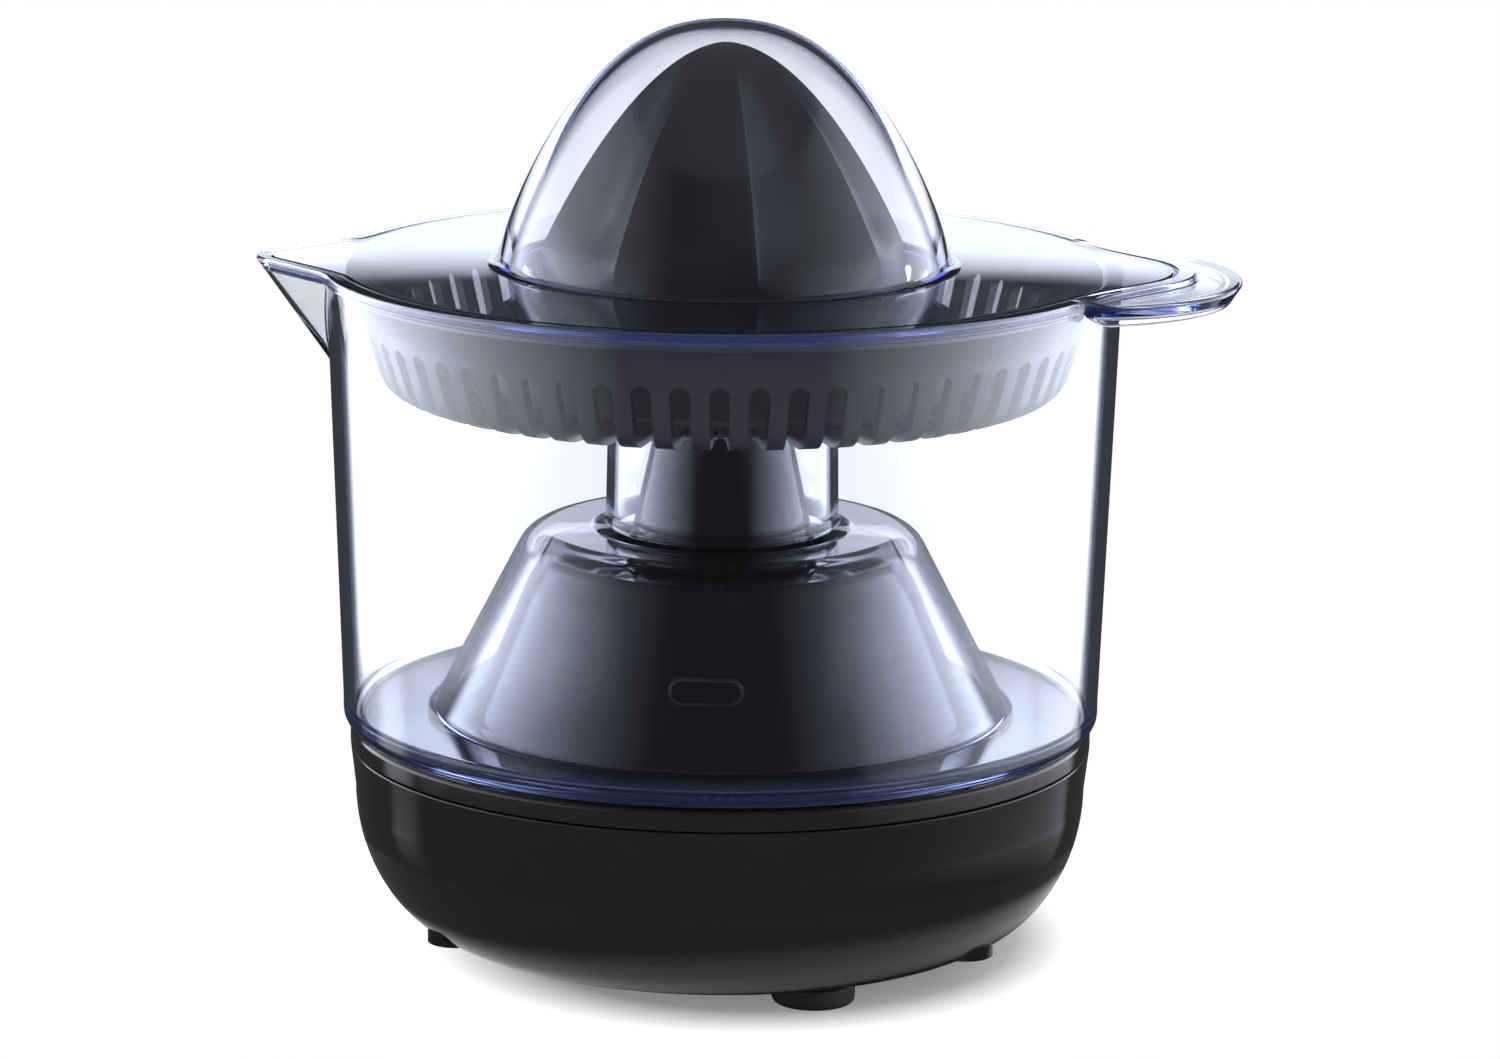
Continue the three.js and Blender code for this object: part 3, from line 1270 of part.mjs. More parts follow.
/** Floor inside the slots and the raised hub, with a guide round the chimney it stands on. */
function buildStrainerHub() {
  const wall = STRAINER_WALL;
  const floorTop = STRAINER_FLOOR_Z + wall;
  const guideInner = CHIMNEY_RADIUS + 0.5;
  const guideBottom = STRAINER_SEAT - 7;
  return ring(
    [
      at(STRAINER_HUB_FOOT - wall, STRAINER_FLOOR_Z),
      at(SLOT_INNER_RADIUS, STRAINER_FLOOR_Z),
      at(SLOT_INNER_RADIUS, floorTop),
      at(STRAINER_HUB_FOOT + 0.6, floorTop),
      at(STRAINER_HUB_FOOT - 0.6, floorTop + 1.2),
      at(STRAINER_HUB_RADIUS, STRAINER_HUB_TOP - 0.8),
      at(STRAINER_HUB_RADIUS - 0.8, STRAINER_HUB_TOP),
      at(HUB_HOLE, STRAINER_HUB_TOP),
      at(HUB_HOLE, STRAINER_SEAT),
      at(guideInner, STRAINER_SEAT),
      at(guideInner, guideBottom),
      at(guideInner + wall, guideBottom),
      at(guideInner + wall, STRAINER_SEAT),
      at(STRAINER_HUB_RADIUS - wall, STRAINER_SEAT),
    ],
    BAR_COUNT / 2,
  );
}

/** One bar of the grille: it runs out along the floor, round the corner and up to the rim. */
function strainerBar(angle) {
  const inset = 0.2;
  const floorBottom = STRAINER_FLOOR_Z + inset;
  const floorTop = STRAINER_FLOOR_Z + STRAINER_WALL - inset;
  const wallOutside = STRAINER_WALL_FOOT * Math.cos((2 * Math.PI) / BAR_COUNT) - inset;
  const wallInside = STRAINER_WALL_FOOT - STRAINER_WALL + inset;
  const shape = new THREE.Shape([
    at(SLOT_INNER_RADIUS - 0.8, floorBottom),
    at(STRAINER_FLOOR_RADIUS, floorBottom),
    at(STRAINER_FLOOR_RADIUS + 6.8, floorBottom + 4),
    at(wallOutside, SLOT_TOP + 0.3),
    at(wallInside, SLOT_TOP + 0.3),
    at(STRAINER_FLOOR_RADIUS + 5.4, floorTop + 3.2),
    at(STRAINER_FLOOR_RADIUS - 0.6, floorTop),
    at(SLOT_INNER_RADIUS - 0.8, floorTop),
  ]);
  const geometry = new THREE.ExtrudeGeometry(shape, { depth: BAR_WIDTH, bevelEnabled: false });
  geometry.translate(0, 0, -BAR_WIDTH / 2).rotateX(Math.PI / 2);
  return solid(geometry.rotateZ(angle));
}

function buildStrainer() {
  const pitch = (2 * Math.PI) / BAR_COUNT;
  const bars = Array.from({ length: BAR_COUNT }, (_, i) => strainerBar((i + 0.5) * pitch));
  return union(buildStrainerHub(), buildStrainerRim(), ...bars);
}

// ---------------------------------------------------------------- reamer

/** Distance of a ridge from the axis, against the height as a share of the cone's. */
function ridgeRadius(share) {
  return REAMER_RADIUS * Math.pow(1 - share ** 1.04, 0.56);
}

/** Revolved cone whose surface is pressed in between the ridges, sharp at each ridge. */
function flutedCone() {
  const bottom = REAMER_BOTTOM + REAMER_SKIRT;
  const flangeTop = REAMER_BOTTOM + REAMER_FLANGE_THICKNESS;
  const fillet = REAMER_FLANGE_RADIUS - 1.6 - REAMER_RADIUS;
  const shares = [0, 0.12, 0.3, 0.5, 0.68, 0.83, 0.93, 0.985, 1];
  const profile = [
    at(0, REAMER_BOTTOM),
    at(REAMER_FLANGE_RADIUS, REAMER_BOTTOM),
    at(REAMER_FLANGE_RADIUS, flangeTop),
    at(REAMER_RADIUS + fillet, flangeTop),
    at(REAMER_RADIUS + 0.3 * fillet, flangeTop + 0.3 * fillet),
    at(REAMER_RADIUS, flangeTop + fillet),
  ];
  shares.forEach((share) => {
    profile.push(at(ridgeRadius(share), bottom + share * (REAMER_TIP - bottom)));
  });
  const geometry = new THREE.LatheGeometry(profile, 4 * REAMER_RIDGES);
  const position = geometry.attributes.position;
  for (let i = 0; i < position.count; i += 1) {
    const [x, height, y] = [position.getX(i), position.getY(i), position.getZ(i)];
    const rise = THREE.MathUtils.clamp((height - flangeTop - fillet) / REAMER_SKIRT, 0, 1);
    const across = Math.abs(Math.sin((REAMER_RIDGES / 2) * Math.atan2(x, y)));
    const scale = 1 - FLUTE_DEPTH * rise * Math.pow(across, 0.8);
    position.setX(i, x * scale);
    position.setZ(i, y * scale);
  }
  return solid(geometry.rotateX(Math.PI / 2).rotateZ(radians(REAMER_TURN)));
}

function buildReamer() {
  const bottom = REAMER_BOTTOM + REAMER_SKIRT;
  const height = REAMER_TIP - bottom;
  const inner = [0.02, 0.3, 0.55, 0.74].map((share) => {
    const radius = ridgeRadius(share) * (1 - FLUTE_DEPTH) - REAMER_WALL;
    return at(radius, bottom + share * height);
  });
  const cavity = revolve(
    [
      at(0, REAMER_BOTTOM - 1),
      at(REAMER_RADIUS - REAMER_WALL, REAMER_BOTTOM - 1),
      at(REAMER_RADIUS - REAMER_WALL, REAMER_BOTTOM + REAMER_FLANGE_THICKNESS),
      ...inner,
      at(0, bottom + 0.74 * height),
    ],
    COARSE,
  );
  const socket = rod(SOCKET_RADIUS, REAMER_BOTTOM + 0.3, SOCKET_TOP + 4);
  const hexRadius = SHAFT_RADIUS + 2 * BORE_CLEARANCE;
  const hex = rod(hexRadius, REAMER_BOTTOM - 1, SHAFT_TOP + 1, OUTPUT_CENTRE, HEX);
  return cut(union(cut(flutedCone(), cavity), socket), hex);
}

// ---------------------------------------------------------------- dust cover

/** Upright wall that leans in and closes in a round crown; one side of the dome's profile. */
function domeProfile(inset) {
  const base = LID_BRIM_TOP - LID_WALL;
  const rise = DOME_TOP - inset - base;
  return [0.07, 0.2, 0.42, 0.63, 0.81, 0.93, 0.985].map((share) => {
    const radius = (DOME_RADIUS - inset) * Math.pow(1 - share ** 1.32, 0.45);
    return at(radius, base + rise * share);
  });
}

function buildLid() {
  const base = LID_BRIM_TOP - LID_WALL;
  const outer = domeProfile(0);
  const inner = domeProfile(LID_WALL);
  const dome = revolve([
    at(DOME_RADIUS - LID_WALL, base),
    at(DOME_RADIUS + DOME_FILLET, base),
    at(DOME_RADIUS + DOME_FILLET, LID_BRIM_TOP),
    ...outer,
    at(0, DOME_TOP),
    at(0, DOME_TOP - LID_WALL),
    ...inner.reverse(),
    at(DOME_RADIUS - LID_WALL, base),
  ]);
  const brim = tube(
    LID_RADIUS,
    DOME_RADIUS - LID_WALL / 2,
    base,
    LID_BRIM_TOP,
    OUTPUT_CENTRE,
    FINE,
  );
  const lobes = [
    slab(lobeShape(LOBE_TIP_SPOUT, LOBE_TIP_RADIUS, -1), base, LID_BRIM_TOP),
    slab(lobeShape(LOBE_TIP_HANDLE, LOBE_TIP_RADIUS, 1), base, LID_BRIM_TOP),
  ];
  return union(brim, ...lobes, dome);
}

place('jug', buildJug(), clearPlastic);
place('strainer', buildStrainer(), satinCharcoal);
place('reamer', buildReamer(), satinCharcoal);
place('lid', buildLid(), clearPlastic);

export default juicer;
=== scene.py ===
"""Electric citrus press: smooth shells, clear jug and cover, slotted strainer and ridged reamer.

The packed model is the fixed frame. Each operator makes one piece, or one group of like pieces,
and the panel lists them in the order in which main() calls them. Lengths are in metres.
"""

import json

import bmesh
import bpy
import numpy as np
from bpy.props import FloatProperty, FloatVectorProperty, IntProperty, PointerProperty
from mathutils import Matrix, Vector


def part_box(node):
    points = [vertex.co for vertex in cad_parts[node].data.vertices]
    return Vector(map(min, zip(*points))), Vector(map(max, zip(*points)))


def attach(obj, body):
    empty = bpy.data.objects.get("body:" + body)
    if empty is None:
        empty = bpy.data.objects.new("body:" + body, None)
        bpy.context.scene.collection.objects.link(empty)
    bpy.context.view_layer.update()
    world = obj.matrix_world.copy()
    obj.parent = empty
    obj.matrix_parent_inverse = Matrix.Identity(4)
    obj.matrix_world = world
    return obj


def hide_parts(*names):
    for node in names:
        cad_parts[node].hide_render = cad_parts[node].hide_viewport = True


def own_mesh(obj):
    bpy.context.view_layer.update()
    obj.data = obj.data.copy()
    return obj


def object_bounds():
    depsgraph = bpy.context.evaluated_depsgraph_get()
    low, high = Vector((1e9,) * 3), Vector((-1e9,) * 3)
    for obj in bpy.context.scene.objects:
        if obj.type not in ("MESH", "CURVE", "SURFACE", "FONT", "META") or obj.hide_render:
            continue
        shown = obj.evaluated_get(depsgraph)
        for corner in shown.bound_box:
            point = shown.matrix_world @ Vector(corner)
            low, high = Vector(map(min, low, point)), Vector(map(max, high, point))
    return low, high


bl_info = {
    "name": "Citrus press looks",
    "version": (1, 0, 0),
    "blender": (4, 5, 0),
    "location": "View3D > Sidebar > Citrus press",
    "description": "Shells, clear ware, reamer, finishes and studio of an electric citrus press",
    "category": "Object",
}

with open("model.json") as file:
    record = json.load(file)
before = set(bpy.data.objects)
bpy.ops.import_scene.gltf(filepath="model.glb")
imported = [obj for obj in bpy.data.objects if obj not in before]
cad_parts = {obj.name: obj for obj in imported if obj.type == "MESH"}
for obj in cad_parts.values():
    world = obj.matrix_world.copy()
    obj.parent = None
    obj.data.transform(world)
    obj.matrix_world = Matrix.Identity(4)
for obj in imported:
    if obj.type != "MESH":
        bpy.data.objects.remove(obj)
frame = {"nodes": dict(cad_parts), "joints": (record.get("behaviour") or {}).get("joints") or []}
cad_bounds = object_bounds()

MM = 0.001
SHOULDER = 67 * MM  # height at which the hump starts to round over
SETBACK = 0.9 * MM  # how far the lower wall stands inside the seam


def joint_place(name):
    """Place of a joint of the frame, in metres."""
    return next(joint["pos_m"] for joint in frame["joints"] if joint["name"] == name)


AXIS = np.array(joint_place("output_spin")[:2])
JUG_LOW, JUG_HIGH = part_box("jug")
STRAINER_LOW, STRAINER_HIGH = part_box("strainer")
REAMER_LOW, REAMER_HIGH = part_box("reamer")
COVER_LOW, COVER_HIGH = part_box("lid")
BASE_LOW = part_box("lower_housing")[0]
TOWER_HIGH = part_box("upper_housing")[1]


def length(name, text, millimetres):
    """A length that a user may change; its default is given in millimetres."""
    return FloatProperty(name=name, description=text, default=millimetres * MM, unit="LENGTH")


def colour(name, text, value):
    """A colour that a user may change, as linear red, green and blue."""
    return FloatVectorProperty(
        name=name, description=text, default=value, size=3, min=0, max=1, subtype="COLOR"
    )


def number(name, text, value):
    """A plain number that a user may change."""
    return FloatProperty(name=name, description=text, default=value)


def angle(name, text, value):
    """An angle that a user may change, in radians."""
    return FloatProperty(name=name, description=text, default=value, subtype="ANGLE")


def whole(name, text, value):
    """A count that a user may change."""
    return IntProperty(name=name, description=text, default=value)


# ---------------------------------------------------------------- sizes and colours


class PressRound(bpy.types.PropertyGroup):
    """How finely the round pieces are divided."""

    columns: whole("Columns", "Steps round the clear ware and the reamer", 432)
    shell_columns: whole("Shell columns", "Steps round the base", 256)
    small_columns: whole("Small columns", "Steps round small parts", 64)
    fillet_steps: whole("Fillet steps", "Steps along a fillet", 5)


class PressBase(bpy.types.PropertyGroup):
    """Sizes of the two base shells."""

    flat_radius: length("Flat radius", "Radius of the flat underside", 46)
    corner_rise: length("Corner rise", "Height of the big rounded corner", 26)
    wall: length("Wall", "Thickness of the shells", 2.4)
    seam_radius: length("Seam radius", "Radius at the seam between the shells", 66.4)
    seam_height: length("Seam height", "Height of the seam between the shells", 38)
    seam_gap: length("Seam gap", "Open width of the seam", 0.3)
    deck_height: length("Deck height", "Height of the deck that carries the jug", 41.7)
    hump_foot: length("Hump foot", "Radius of the hump at its foot", 44.5)
    hump_shoulder: length("Hump shoulder", "Radius of the hump below its shoulder", 34.6)
    hump_top: length("Hump top", "Height of the top of the hump", 72.2)
    tower_foot: length("Tower foot", "Radius of the tower at its foot", 16.9)
    tower_waist: length("Tower waist", "Radius of the tower at 92 mm", 12.6)
    tower_top: length("Tower top", "Radius of the tower at its top", 11.2)
    key_width: length("Key width", "Width of the raised key on the hump", 13)
    key_height: length("Key height", "Height of the raised key on the hump", 5)
    key_level: length("Key level", "Height of the middle of the key", 56)


class PressSpring(bpy.types.PropertyGroup):
    """Sizes of the return spring."""

    radius: length("Radius", "Middle of the wire of the return spring", 5.3)
    wire: length("Wire", "Radius of the wire of the return spring", 0.45)
    turns: number("Turns", "Turns of the return spring", 2.5)
    travel: length("Travel", "How far the shaft presses the return spring together", 2)


class PressJug(bpy.types.PropertyGroup):
    """Sizes of the clear jug."""

    wall: length("Wall", "Thickness of the clear wall", 1.9)
    foot_radius: length("Foot radius", "Outside radius at the floor", 67.6)
    neck_radius: length("Neck radius", "Outside radius below the rim", 70.2)
    rim_radius: length("Rim radius", "Outside radius of the rim band", 70.9)
    rim_band: length("Rim band", "Height of the rim band", 2.3)
    cone_foot: length("Cone foot", "Radius of the inner cone at the floor", 51.5)
    cone_shoulder: length("Cone shoulder", "Radius where the cone would meet its top", 34.6)
    cone_top: length("Cone top", "Height of the top of the cone", 76.8)
    chimney_radius: length("Chimney radius", "Outside radius of the chimney", 20.6)
    chimney_top: length("Chimney top", "Height of the top of the chimney", 111.2)
    spout_wall: length("Spout wall", "Thickness of the spout at its tip", 2.2)
    spout_apex: length("Spout apex", "Height at which the spout leaves the wall", 104)
    handle_centre: length("Handle centre", "Distance of the ear's centre from the axis", 60)
    handle_radius: length("Handle radius", "Radius of the ear", 31.8)
    handle_step: length("Handle step", "Depth of the ear's plate below its ridge", 1.2)
    handle_ridge: length("Handle ridge", "Width of the ridge round the cover's lobe", 3.4)
    handle_skirt: length("Handle skirt", "Height of the ear's turned-down edge", 5)
    handle_lean: length("Handle lean", "How far the skirt leans in at its bottom", 2.5)


class PressStrainer(bpy.types.PropertyGroup):
    """Sizes of the slotted strainer."""

    wall: length("Wall", "Thickness of the strainer", 1.8)
    floor_corner: length("Floor corner", "Radius where wall and floor would meet", 60)
    slot_top_radius: length("Slot top radius", "Outside radius at the top of the slots", 63.6)
    slot_top: length("Slot top", "Height of the top of the slots", 113.9)
    slot_inner: length("Slot inner radius", "Radius of the inner ends of the slots", 46.5)
    bar: length("Bar", "Width of a bar between two slots", 3.1)
    hub_foot: length("Hub foot", "Radius of the hub at the floor", 44.2)
    hub_radius: length("Hub radius", "Radius of the hub at its top", 41.6)
    hub_hole: length("Hub hole", "Radius of the hole for the shaft", 7)
    slots: whole("Slots", "Slots round the strainer", 60)


class PressReamer(bpy.types.PropertyGroup):
    """Sizes of the ridged reamer."""

    radius: length("Radius", "Radius of the ridges at the foot of the cone", 32.6)
    skirt_top: length("Skirt top", "Height at which the cone starts to close", 126.9)
    flange: length("Flange", "Thickness of the foot's flange", 1.5)
    wall: length("Wall", "Thickness of the cone", 2.4)
    socket: length("Socket", "Outside radius of the shaft's socket", 7)
    hex_radius: length("Hexagon", "Radius to the corners of the socket's hexagon", 4.6)
    ridges: whole("Ridges", "Ridges round the cone", 8)
    turn: angle("Turn", "Direction of the first ridge", np.radians(13.6))
    flute: number("Flute", "Depth of a flute as a share of the radius", 0.16)


class PressCover(bpy.types.PropertyGroup):
    """Sizes of the dust cover."""

    wall: length("Wall", "Thickness of the cover", 1.8)
    radius: length("Radius", "Radius of the brim", 67.9)
    spout_tip: length("Spout lobe", "Reach of the lobe over the spout", 80.8)
    handle_tip: length("Handle lobe", "Reach of the lobe over the handle", 79.5)
    tip_radius: length("Spout tip radius", "Rounding of the spout lobe's tip", 6)
    handle_tip_radius: length("Handle tip radius", "Rounding of the handle lobe's tip", 19)
    dome_radius: length("Dome radius", "Radius of the dome at the brim", 40.3)
    half_angle: angle("Half angle", "Half the angle between a lobe's sides", np.radians(48))


class PressColours(bpy.types.PropertyGroup):
    """Colours of the finishes, linear."""

    black: colour("Gloss black", "Base shells", (0.0158, 0.0132, 0.0135))
    charcoal: colour("Satin charcoal", "Reamer", (0.022, 0.021, 0.027))
    # Also used as a painted highlight on the rounded edge of the hump's key.
    strainer: colour("Satin grey", "Strainer", (0.07, 0.07, 0.083))
    clear: colour("Clear plastic", "Jug and cover seen face on", (1.0, 1.0, 1.0))
    clear_edge: colour("Clear slant", "Jug and cover seen at a slant", (0.46, 0.51, 0.8))
    clear_rim: colour("Clear edge", "Jug and cover seen edge on", (0.03, 0.045, 0.2))
    # Painted glow: faint blue emission on the clear ware's upright brim and foot faces, which are no lamp.
    painted_edge_glow: colour("Clear painted edge glow", "Painted glow on the thick edges", (0.006, 0.0095, 0.033))
    absorb: colour("Clear depth", "Light that passes through a long way of clear plastic", (0.1, 0.24, 0.78))
    rubber: colour("Rubber", "Feet, seal and inlet", (0.012, 0.012, 0.013))


class PressStudio(bpy.types.PropertyGroup):
    """Camera and light."""

    lens: number("Lens", "Focal length", 134.4)
    distance: length("Distance", "Camera to the press", 1000)
    target: length("Target", "Height that the camera looks at", 77)
    azimuth: angle("Azimuth", "Camera round the axis", np.radians(3.5))
    elevation: angle("Elevation", "Camera above the horizon", 0.216)
    roll: angle("Roll", "Camera about its own view", 0.009)
    shift_x: number("Shift X", "Sideways shift of the lens", 0.0186)
    shift_y: number("Shift Y", "Upright shift of the lens", -0.0042)
    floor: colour("Floor", "Matt colour of the floor", (0.8, 0.8, 0.8))
    floor_radius: length("Floor radius", "Radius of the round floor", 92)
    floor_glow: number("Floor glow", "What the floor adds by itself", 0.9)
    # Middle and shape of the painted shadow on the floor, where the floor's glow is weak.
    shadow_back: length("Shadow back", "How far behind the axis the shadow has its middle", 6)
    shadow_side: length("Shadow side", "How far to the right of the axis the shadow has its middle", 8)
    shadow_depth: number("Shadow depth", "Width of the shadow over its depth", 0.92)
    light: number("Light", "Even light on matt colours", 1.0)
    box: number("Soft boxes", "Brightness of the boxes at both sides", 4.5)
    box_colour: colour("Soft box colour", "Colour of the light that gloss shows", (0.86, 0.91, 1.0))
    panel: number("Panel", "Brightness of the panel behind the press", 2.1)
    room: number("Room", "Brightness of the room that gloss shows", 0.06)
    behind_clear: number("Behind clear ware", "How much brighter than white the room is through the jug", 0.2)
    ceiling: number("Ceiling", "Brightness above the press, in its gloss", 0.22)
    screen_radius: length("Screen radius", "Radius of the round screen with the soft boxes", 350)


GROUPS = {
    "press_round": PressRound,
    "press_base": PressBase,
    "press_spring": PressSpring,
    "press_jug": PressJug,
    "press_strainer": PressStrainer,
    "press_reamer": PressReamer,
    "press_cover": PressCover,
    "press_colours": PressColours,
    "press_studio": PressStudio,
}

# ---------------------------------------------------------------- shapes as arrays


def smooth_step(value):
    """0 below 0, 1 above 1, and 3v² − 2v³ between."""
    value = np.clip(value, 0, 1)
    return value * value * (3 - 2 * value)


def blend(first, second, share):
    """first at share 0, second at share 1, straight between."""
    return first + (second - first) * share


def soft_max(first, second, sharpness):
    """The larger of two lengths, with the corner between them rounded: log(e^(k·a) + e^(k·b)) / k."""
    return np.logaddexp(sharpness * first, sharpness * second) / sharpness


def around(columns):
    """Directions round the axis, starting at the handle, shaped as a column."""
    return np.linspace(-np.pi, np.pi, columns, endpoint=False)[:, None]


def around_lobes(columns):
    """Directions closer together at spout and handle: u − 0.3·sin 2u."""
    even = around(columns)
    return even - 0.3 * np.sin(2 * even)


def from_spout(turn):
    """Direction measured from the spout instead of the handle."""
    return np.mod(turn, 2 * np.pi) - np.pi


def wedge(turn, tip, tip_radius, half_angle):
    """Distance from the axis to the outline of a round-tipped wedge that points along turn 0.

    The tip is a circle about centre = tip − tip_radius: centre·cos a + √(r² − (centre·sin a)²).
    Beyond the tangent point it is a straight side, (centre·cos lean + r) / cos(a − lean), where lean
    is a right angle less the half angle. Past lean it falls away as a cosine.
    """
    away = np.abs(turn)
    lean = np.pi / 2 - half_angle
    centre = tip - tip_radius
    tangent = np.arctan2(tip_radius * np.sin(lean), centre + tip_radius * np.cos(lean))
    inside = np.maximum(tip_radius**2 - (centre * np.sin(away)) ** 2, 0)
    near = centre * np.cos(away) + np.sqrt(inside)
    reach = centre * np.cos(lean) + tip_radius
    side = reach / np.cos(np.minimum(away, lean) - lean) * np.cos(np.maximum(away - lean, 0))
    return np.where(away < tangent, near, side)


def ear(turn, centre, radius):
    """Distance from the axis to a disc at the handle: centre·cos a + √(radius² − centre²·sin² a)."""
    inside = radius**2 - (centre * np.sin(turn)) ** 2
    reach = centre * np.cos(turn) + np.sqrt(np.maximum(inside, 0))
    return np.where((inside > 0) & (np.cos(turn) > 0), reach, 0)


def corners(rows, *points):
    """Corners of a profile for each direction: (radius, height) pairs, either of which may vary."""
    return np.stack(
        [
            np.stack([np.broadcast_to(np.ravel(radius), rows), np.broadcast_to(np.ravel(height), rows)], -1)
            for radius, height in points
        ],
        1,
    )


def rounded(points, radii, steps, closed=True, guard=0.25 * MM):
    """Profile whose corners are replaced by arcs.

    points is (directions, corners, 2). Each arc is a rational quadratic from P + a·d to P + b·d,
    with a and b the unit legs, d = radius / tan(half the corner's angle) but at most 0.45 of the
    shorter leg, and middle weight sin(half the angle). A guard point stands on each leg beside the arc.
    """
    count = points.shape[1]
    share = np.linspace(0, 1, steps + 1)[None, :, None]
    parts = []
    for k in range(count):
        here = points[:, k]
        if radii[k] <= 0 or (not closed and k in (0, count - 1)):
            parts.append(here[:, None])
            continue
        back = points[:, k - 1] - here
        ahead = points[:, (k + 1) % count] - here
        back_length = np.maximum(np.linalg.norm(back, axis=1, keepdims=True), 1e-9)
        ahead_length = np.maximum(np.linalg.norm(ahead, axis=1, keepdims=True), 1e-9)
        back, ahead = back / back_length, ahead / ahead_length
        half = np.arccos(np.clip((back * ahead).sum(1, keepdims=True), -1, 1)) / 2
        shorter = np.minimum(back_length, ahead_length)
        reach = np.minimum(radii[k] / np.tan(np.maximum(half, 1e-3)), 0.45 * shorter)
        extra = np.minimum(guard, 0.03 * shorter)
        weight = np.sin(half)[:, None]
        start, end = (here + back * reach)[:, None], (here + ahead * reach)[:, None]
        top = (1 - share) ** 2 * start + 2 * weight * share * (1 - share) * here[:, None] + share**2 * end
        under = (1 - share) ** 2 + 2 * weight * share * (1 - share) + share**2
        parts.append((here + back * (reach + extra))[:, None])
        parts.append(top / under)
        parts.append((here + ahead * (reach + extra))[:, None])
    return np.concatenate(parts, 1)


def swing(profile, turn, centre=AXIS):
    """Points of a profile turned about the upright axis: (x + r·cos a, y + r·sin a, z).

    There is one profile for each direction, or the same one for all of them.
    """
    radius, height = profile[..., 0], profile[..., 1] + 0 * turn
    return np.stack([centre[0] + radius * np.cos(turn), centre[1] + radius * np.sin(turn), height], -1)


def quads(grid, wrap_rows, wrap_columns):
    """Vertex numbers of the four corners of each cell of a grid."""
    rows, columns = grid.shape[:2]
    index = np.arange(rows * columns).reshape(rows, columns)
    if wrap_rows:
        index = np.concatenate([index, index[:1]])
    if wrap_columns:
        index = np.concatenate([index, index[:, :1]], 1)
    cells = [index[:-1, :-1], index[1:, :-1], index[1:, 1:], index[:-1, 1:]]
    return np.stack(cells, -1).reshape(-1, 4)


def signed_volume(points, faces):
    """Volume inside four-cornered faces, negative when they point inwards."""
    a, b, c, d = (points[faces[:, k]] for k in range(4))
    return (np.einsum("ij,ij->i", a, np.cross(b, c)) + np.einsum("ij,ij->i", a, np.cross(c, d))).sum() / 6


def clean(mesh, merge, flat_faces=True):
    """Merges the doubled vertices of a mesh, and takes out the faces without area."""
    work = bmesh.new()
    work.from_mesh(mesh)
    bmesh.ops.remove_doubles(work, verts=work.verts, dist=merge)
    if flat_faces:
        bmesh.ops.dissolve_degenerate(work, edges=work.edges, dist=merge)
    work.to_mesh(mesh)
    work.free()


def placed(name, data):
    """Object of a mesh or a camera, put into the scene."""
    piece = bpy.data.objects.new(name, data)
    bpy.context.scene.collection.objects.link(piece)
    return piece


def make_object(name, points, faces, merge=1e-7):
    """Object of a four-cornered mesh: faces outwards, doubles and poles merged."""
    points = points.reshape(-1, 3)
    if signed_volume(points - points.mean(0), faces) < 0:
        faces = faces[:, ::-1]
    mesh = bpy.data.meshes.new(name)
    mesh.vertices.add(len(points))
    mesh.vertices.foreach_set("co", points.astype(np.float32).ravel())
    mesh.loops.add(faces.size)
    mesh.loops.foreach_set("vertex_index", faces.astype(np.int32).ravel())
    mesh.polygons.add(len(faces))
    mesh.polygons.foreach_set("loop_start", np.arange(0, faces.size, 4, dtype=np.int32))
    mesh.update(calc_edges=True)
    clean(mesh, merge)
    return placed(name, mesh)


def filleted(points, steps, closed=True):
    """Rounded profile for one direction: corners as (radius, height, fillet in millimetres)."""
    corner = np.array([[point[:2] for point in points]], float)
    return rounded(corner, [point[2] * MM for point in points], steps, closed)


def turned(name, points, columns, steps, centre=AXIS, closed=True):
    """Piece of revolution from one profile: corners as (radius, height, fillet in millimetres)."""
    grid = swing(filleted(points, steps, closed), around(columns), centre)
    return make_object(name, grid, quads(grid, True, closed))


def raised(points, level=0):
    """(radius, height, fillet) corners from millimetres above a level, with the first two in metres."""
    return [(radius * MM, level + height * MM, fillet) for radius, height, fillet in points]


def outward(node):
    """Middle of a frame's node, and the level direction from the axis to it."""
    low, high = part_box(node)
    middle = (low + high) / 2
    return middle, (Vector((middle.x, middle.y, 0)) - Vector((*AXIS, 0))).normalized()


def bar(name, radius, start, end, columns):
    """Round bar from one point to another, closed at both ends."""
    start, end = np.array(start, float), np.array(end, float)
    along = Vector(end - start)
    tilt = np.array(along.to_track_quat("Z", "Y").to_matrix())
    profile = np.array([[0, 0], [radius, 0], [radius, along.length], [0, along.length]])
    grid = swing(profile, around(columns), (0, 0)) @ tilt.T + start
    return make_object(name, grid, quads(grid, True, False))


def combine(body, tool, operation):
    """Boolean of two closed meshes; the tool is used up."""
    step = body.modifiers.new(operation, "BOOLEAN")
    step.operation = operation
    step.solver = "EXACT"
    step.object = tool
    graph = bpy.context.evaluated_depsgraph_get()
    result = bpy.data.meshes.new_from_object(body.evaluated_get(graph))
    clean(result, 0.002 * MM, flat_faces=False)
    body.modifiers.clear()
    body.data = result
    bpy.data.objects.remove(tool)


def settle(piece, body, finish, node, sharp=32):
    """Finish, body and the frame's node that a new piece stands for, and smooth shading.

    Edges sharper than an angle in degrees are left hard.
    """
    piece.data.shade_smooth()
    piece.data.set_sharp_from_angle(angle=np.radians(sharp))
    piece.data.materials.clear()
    piece.data.materials.append(bpy.data.materials[finish])
    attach(piece, body)
    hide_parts(node)


# ---------------------------------------------------------------- finishes


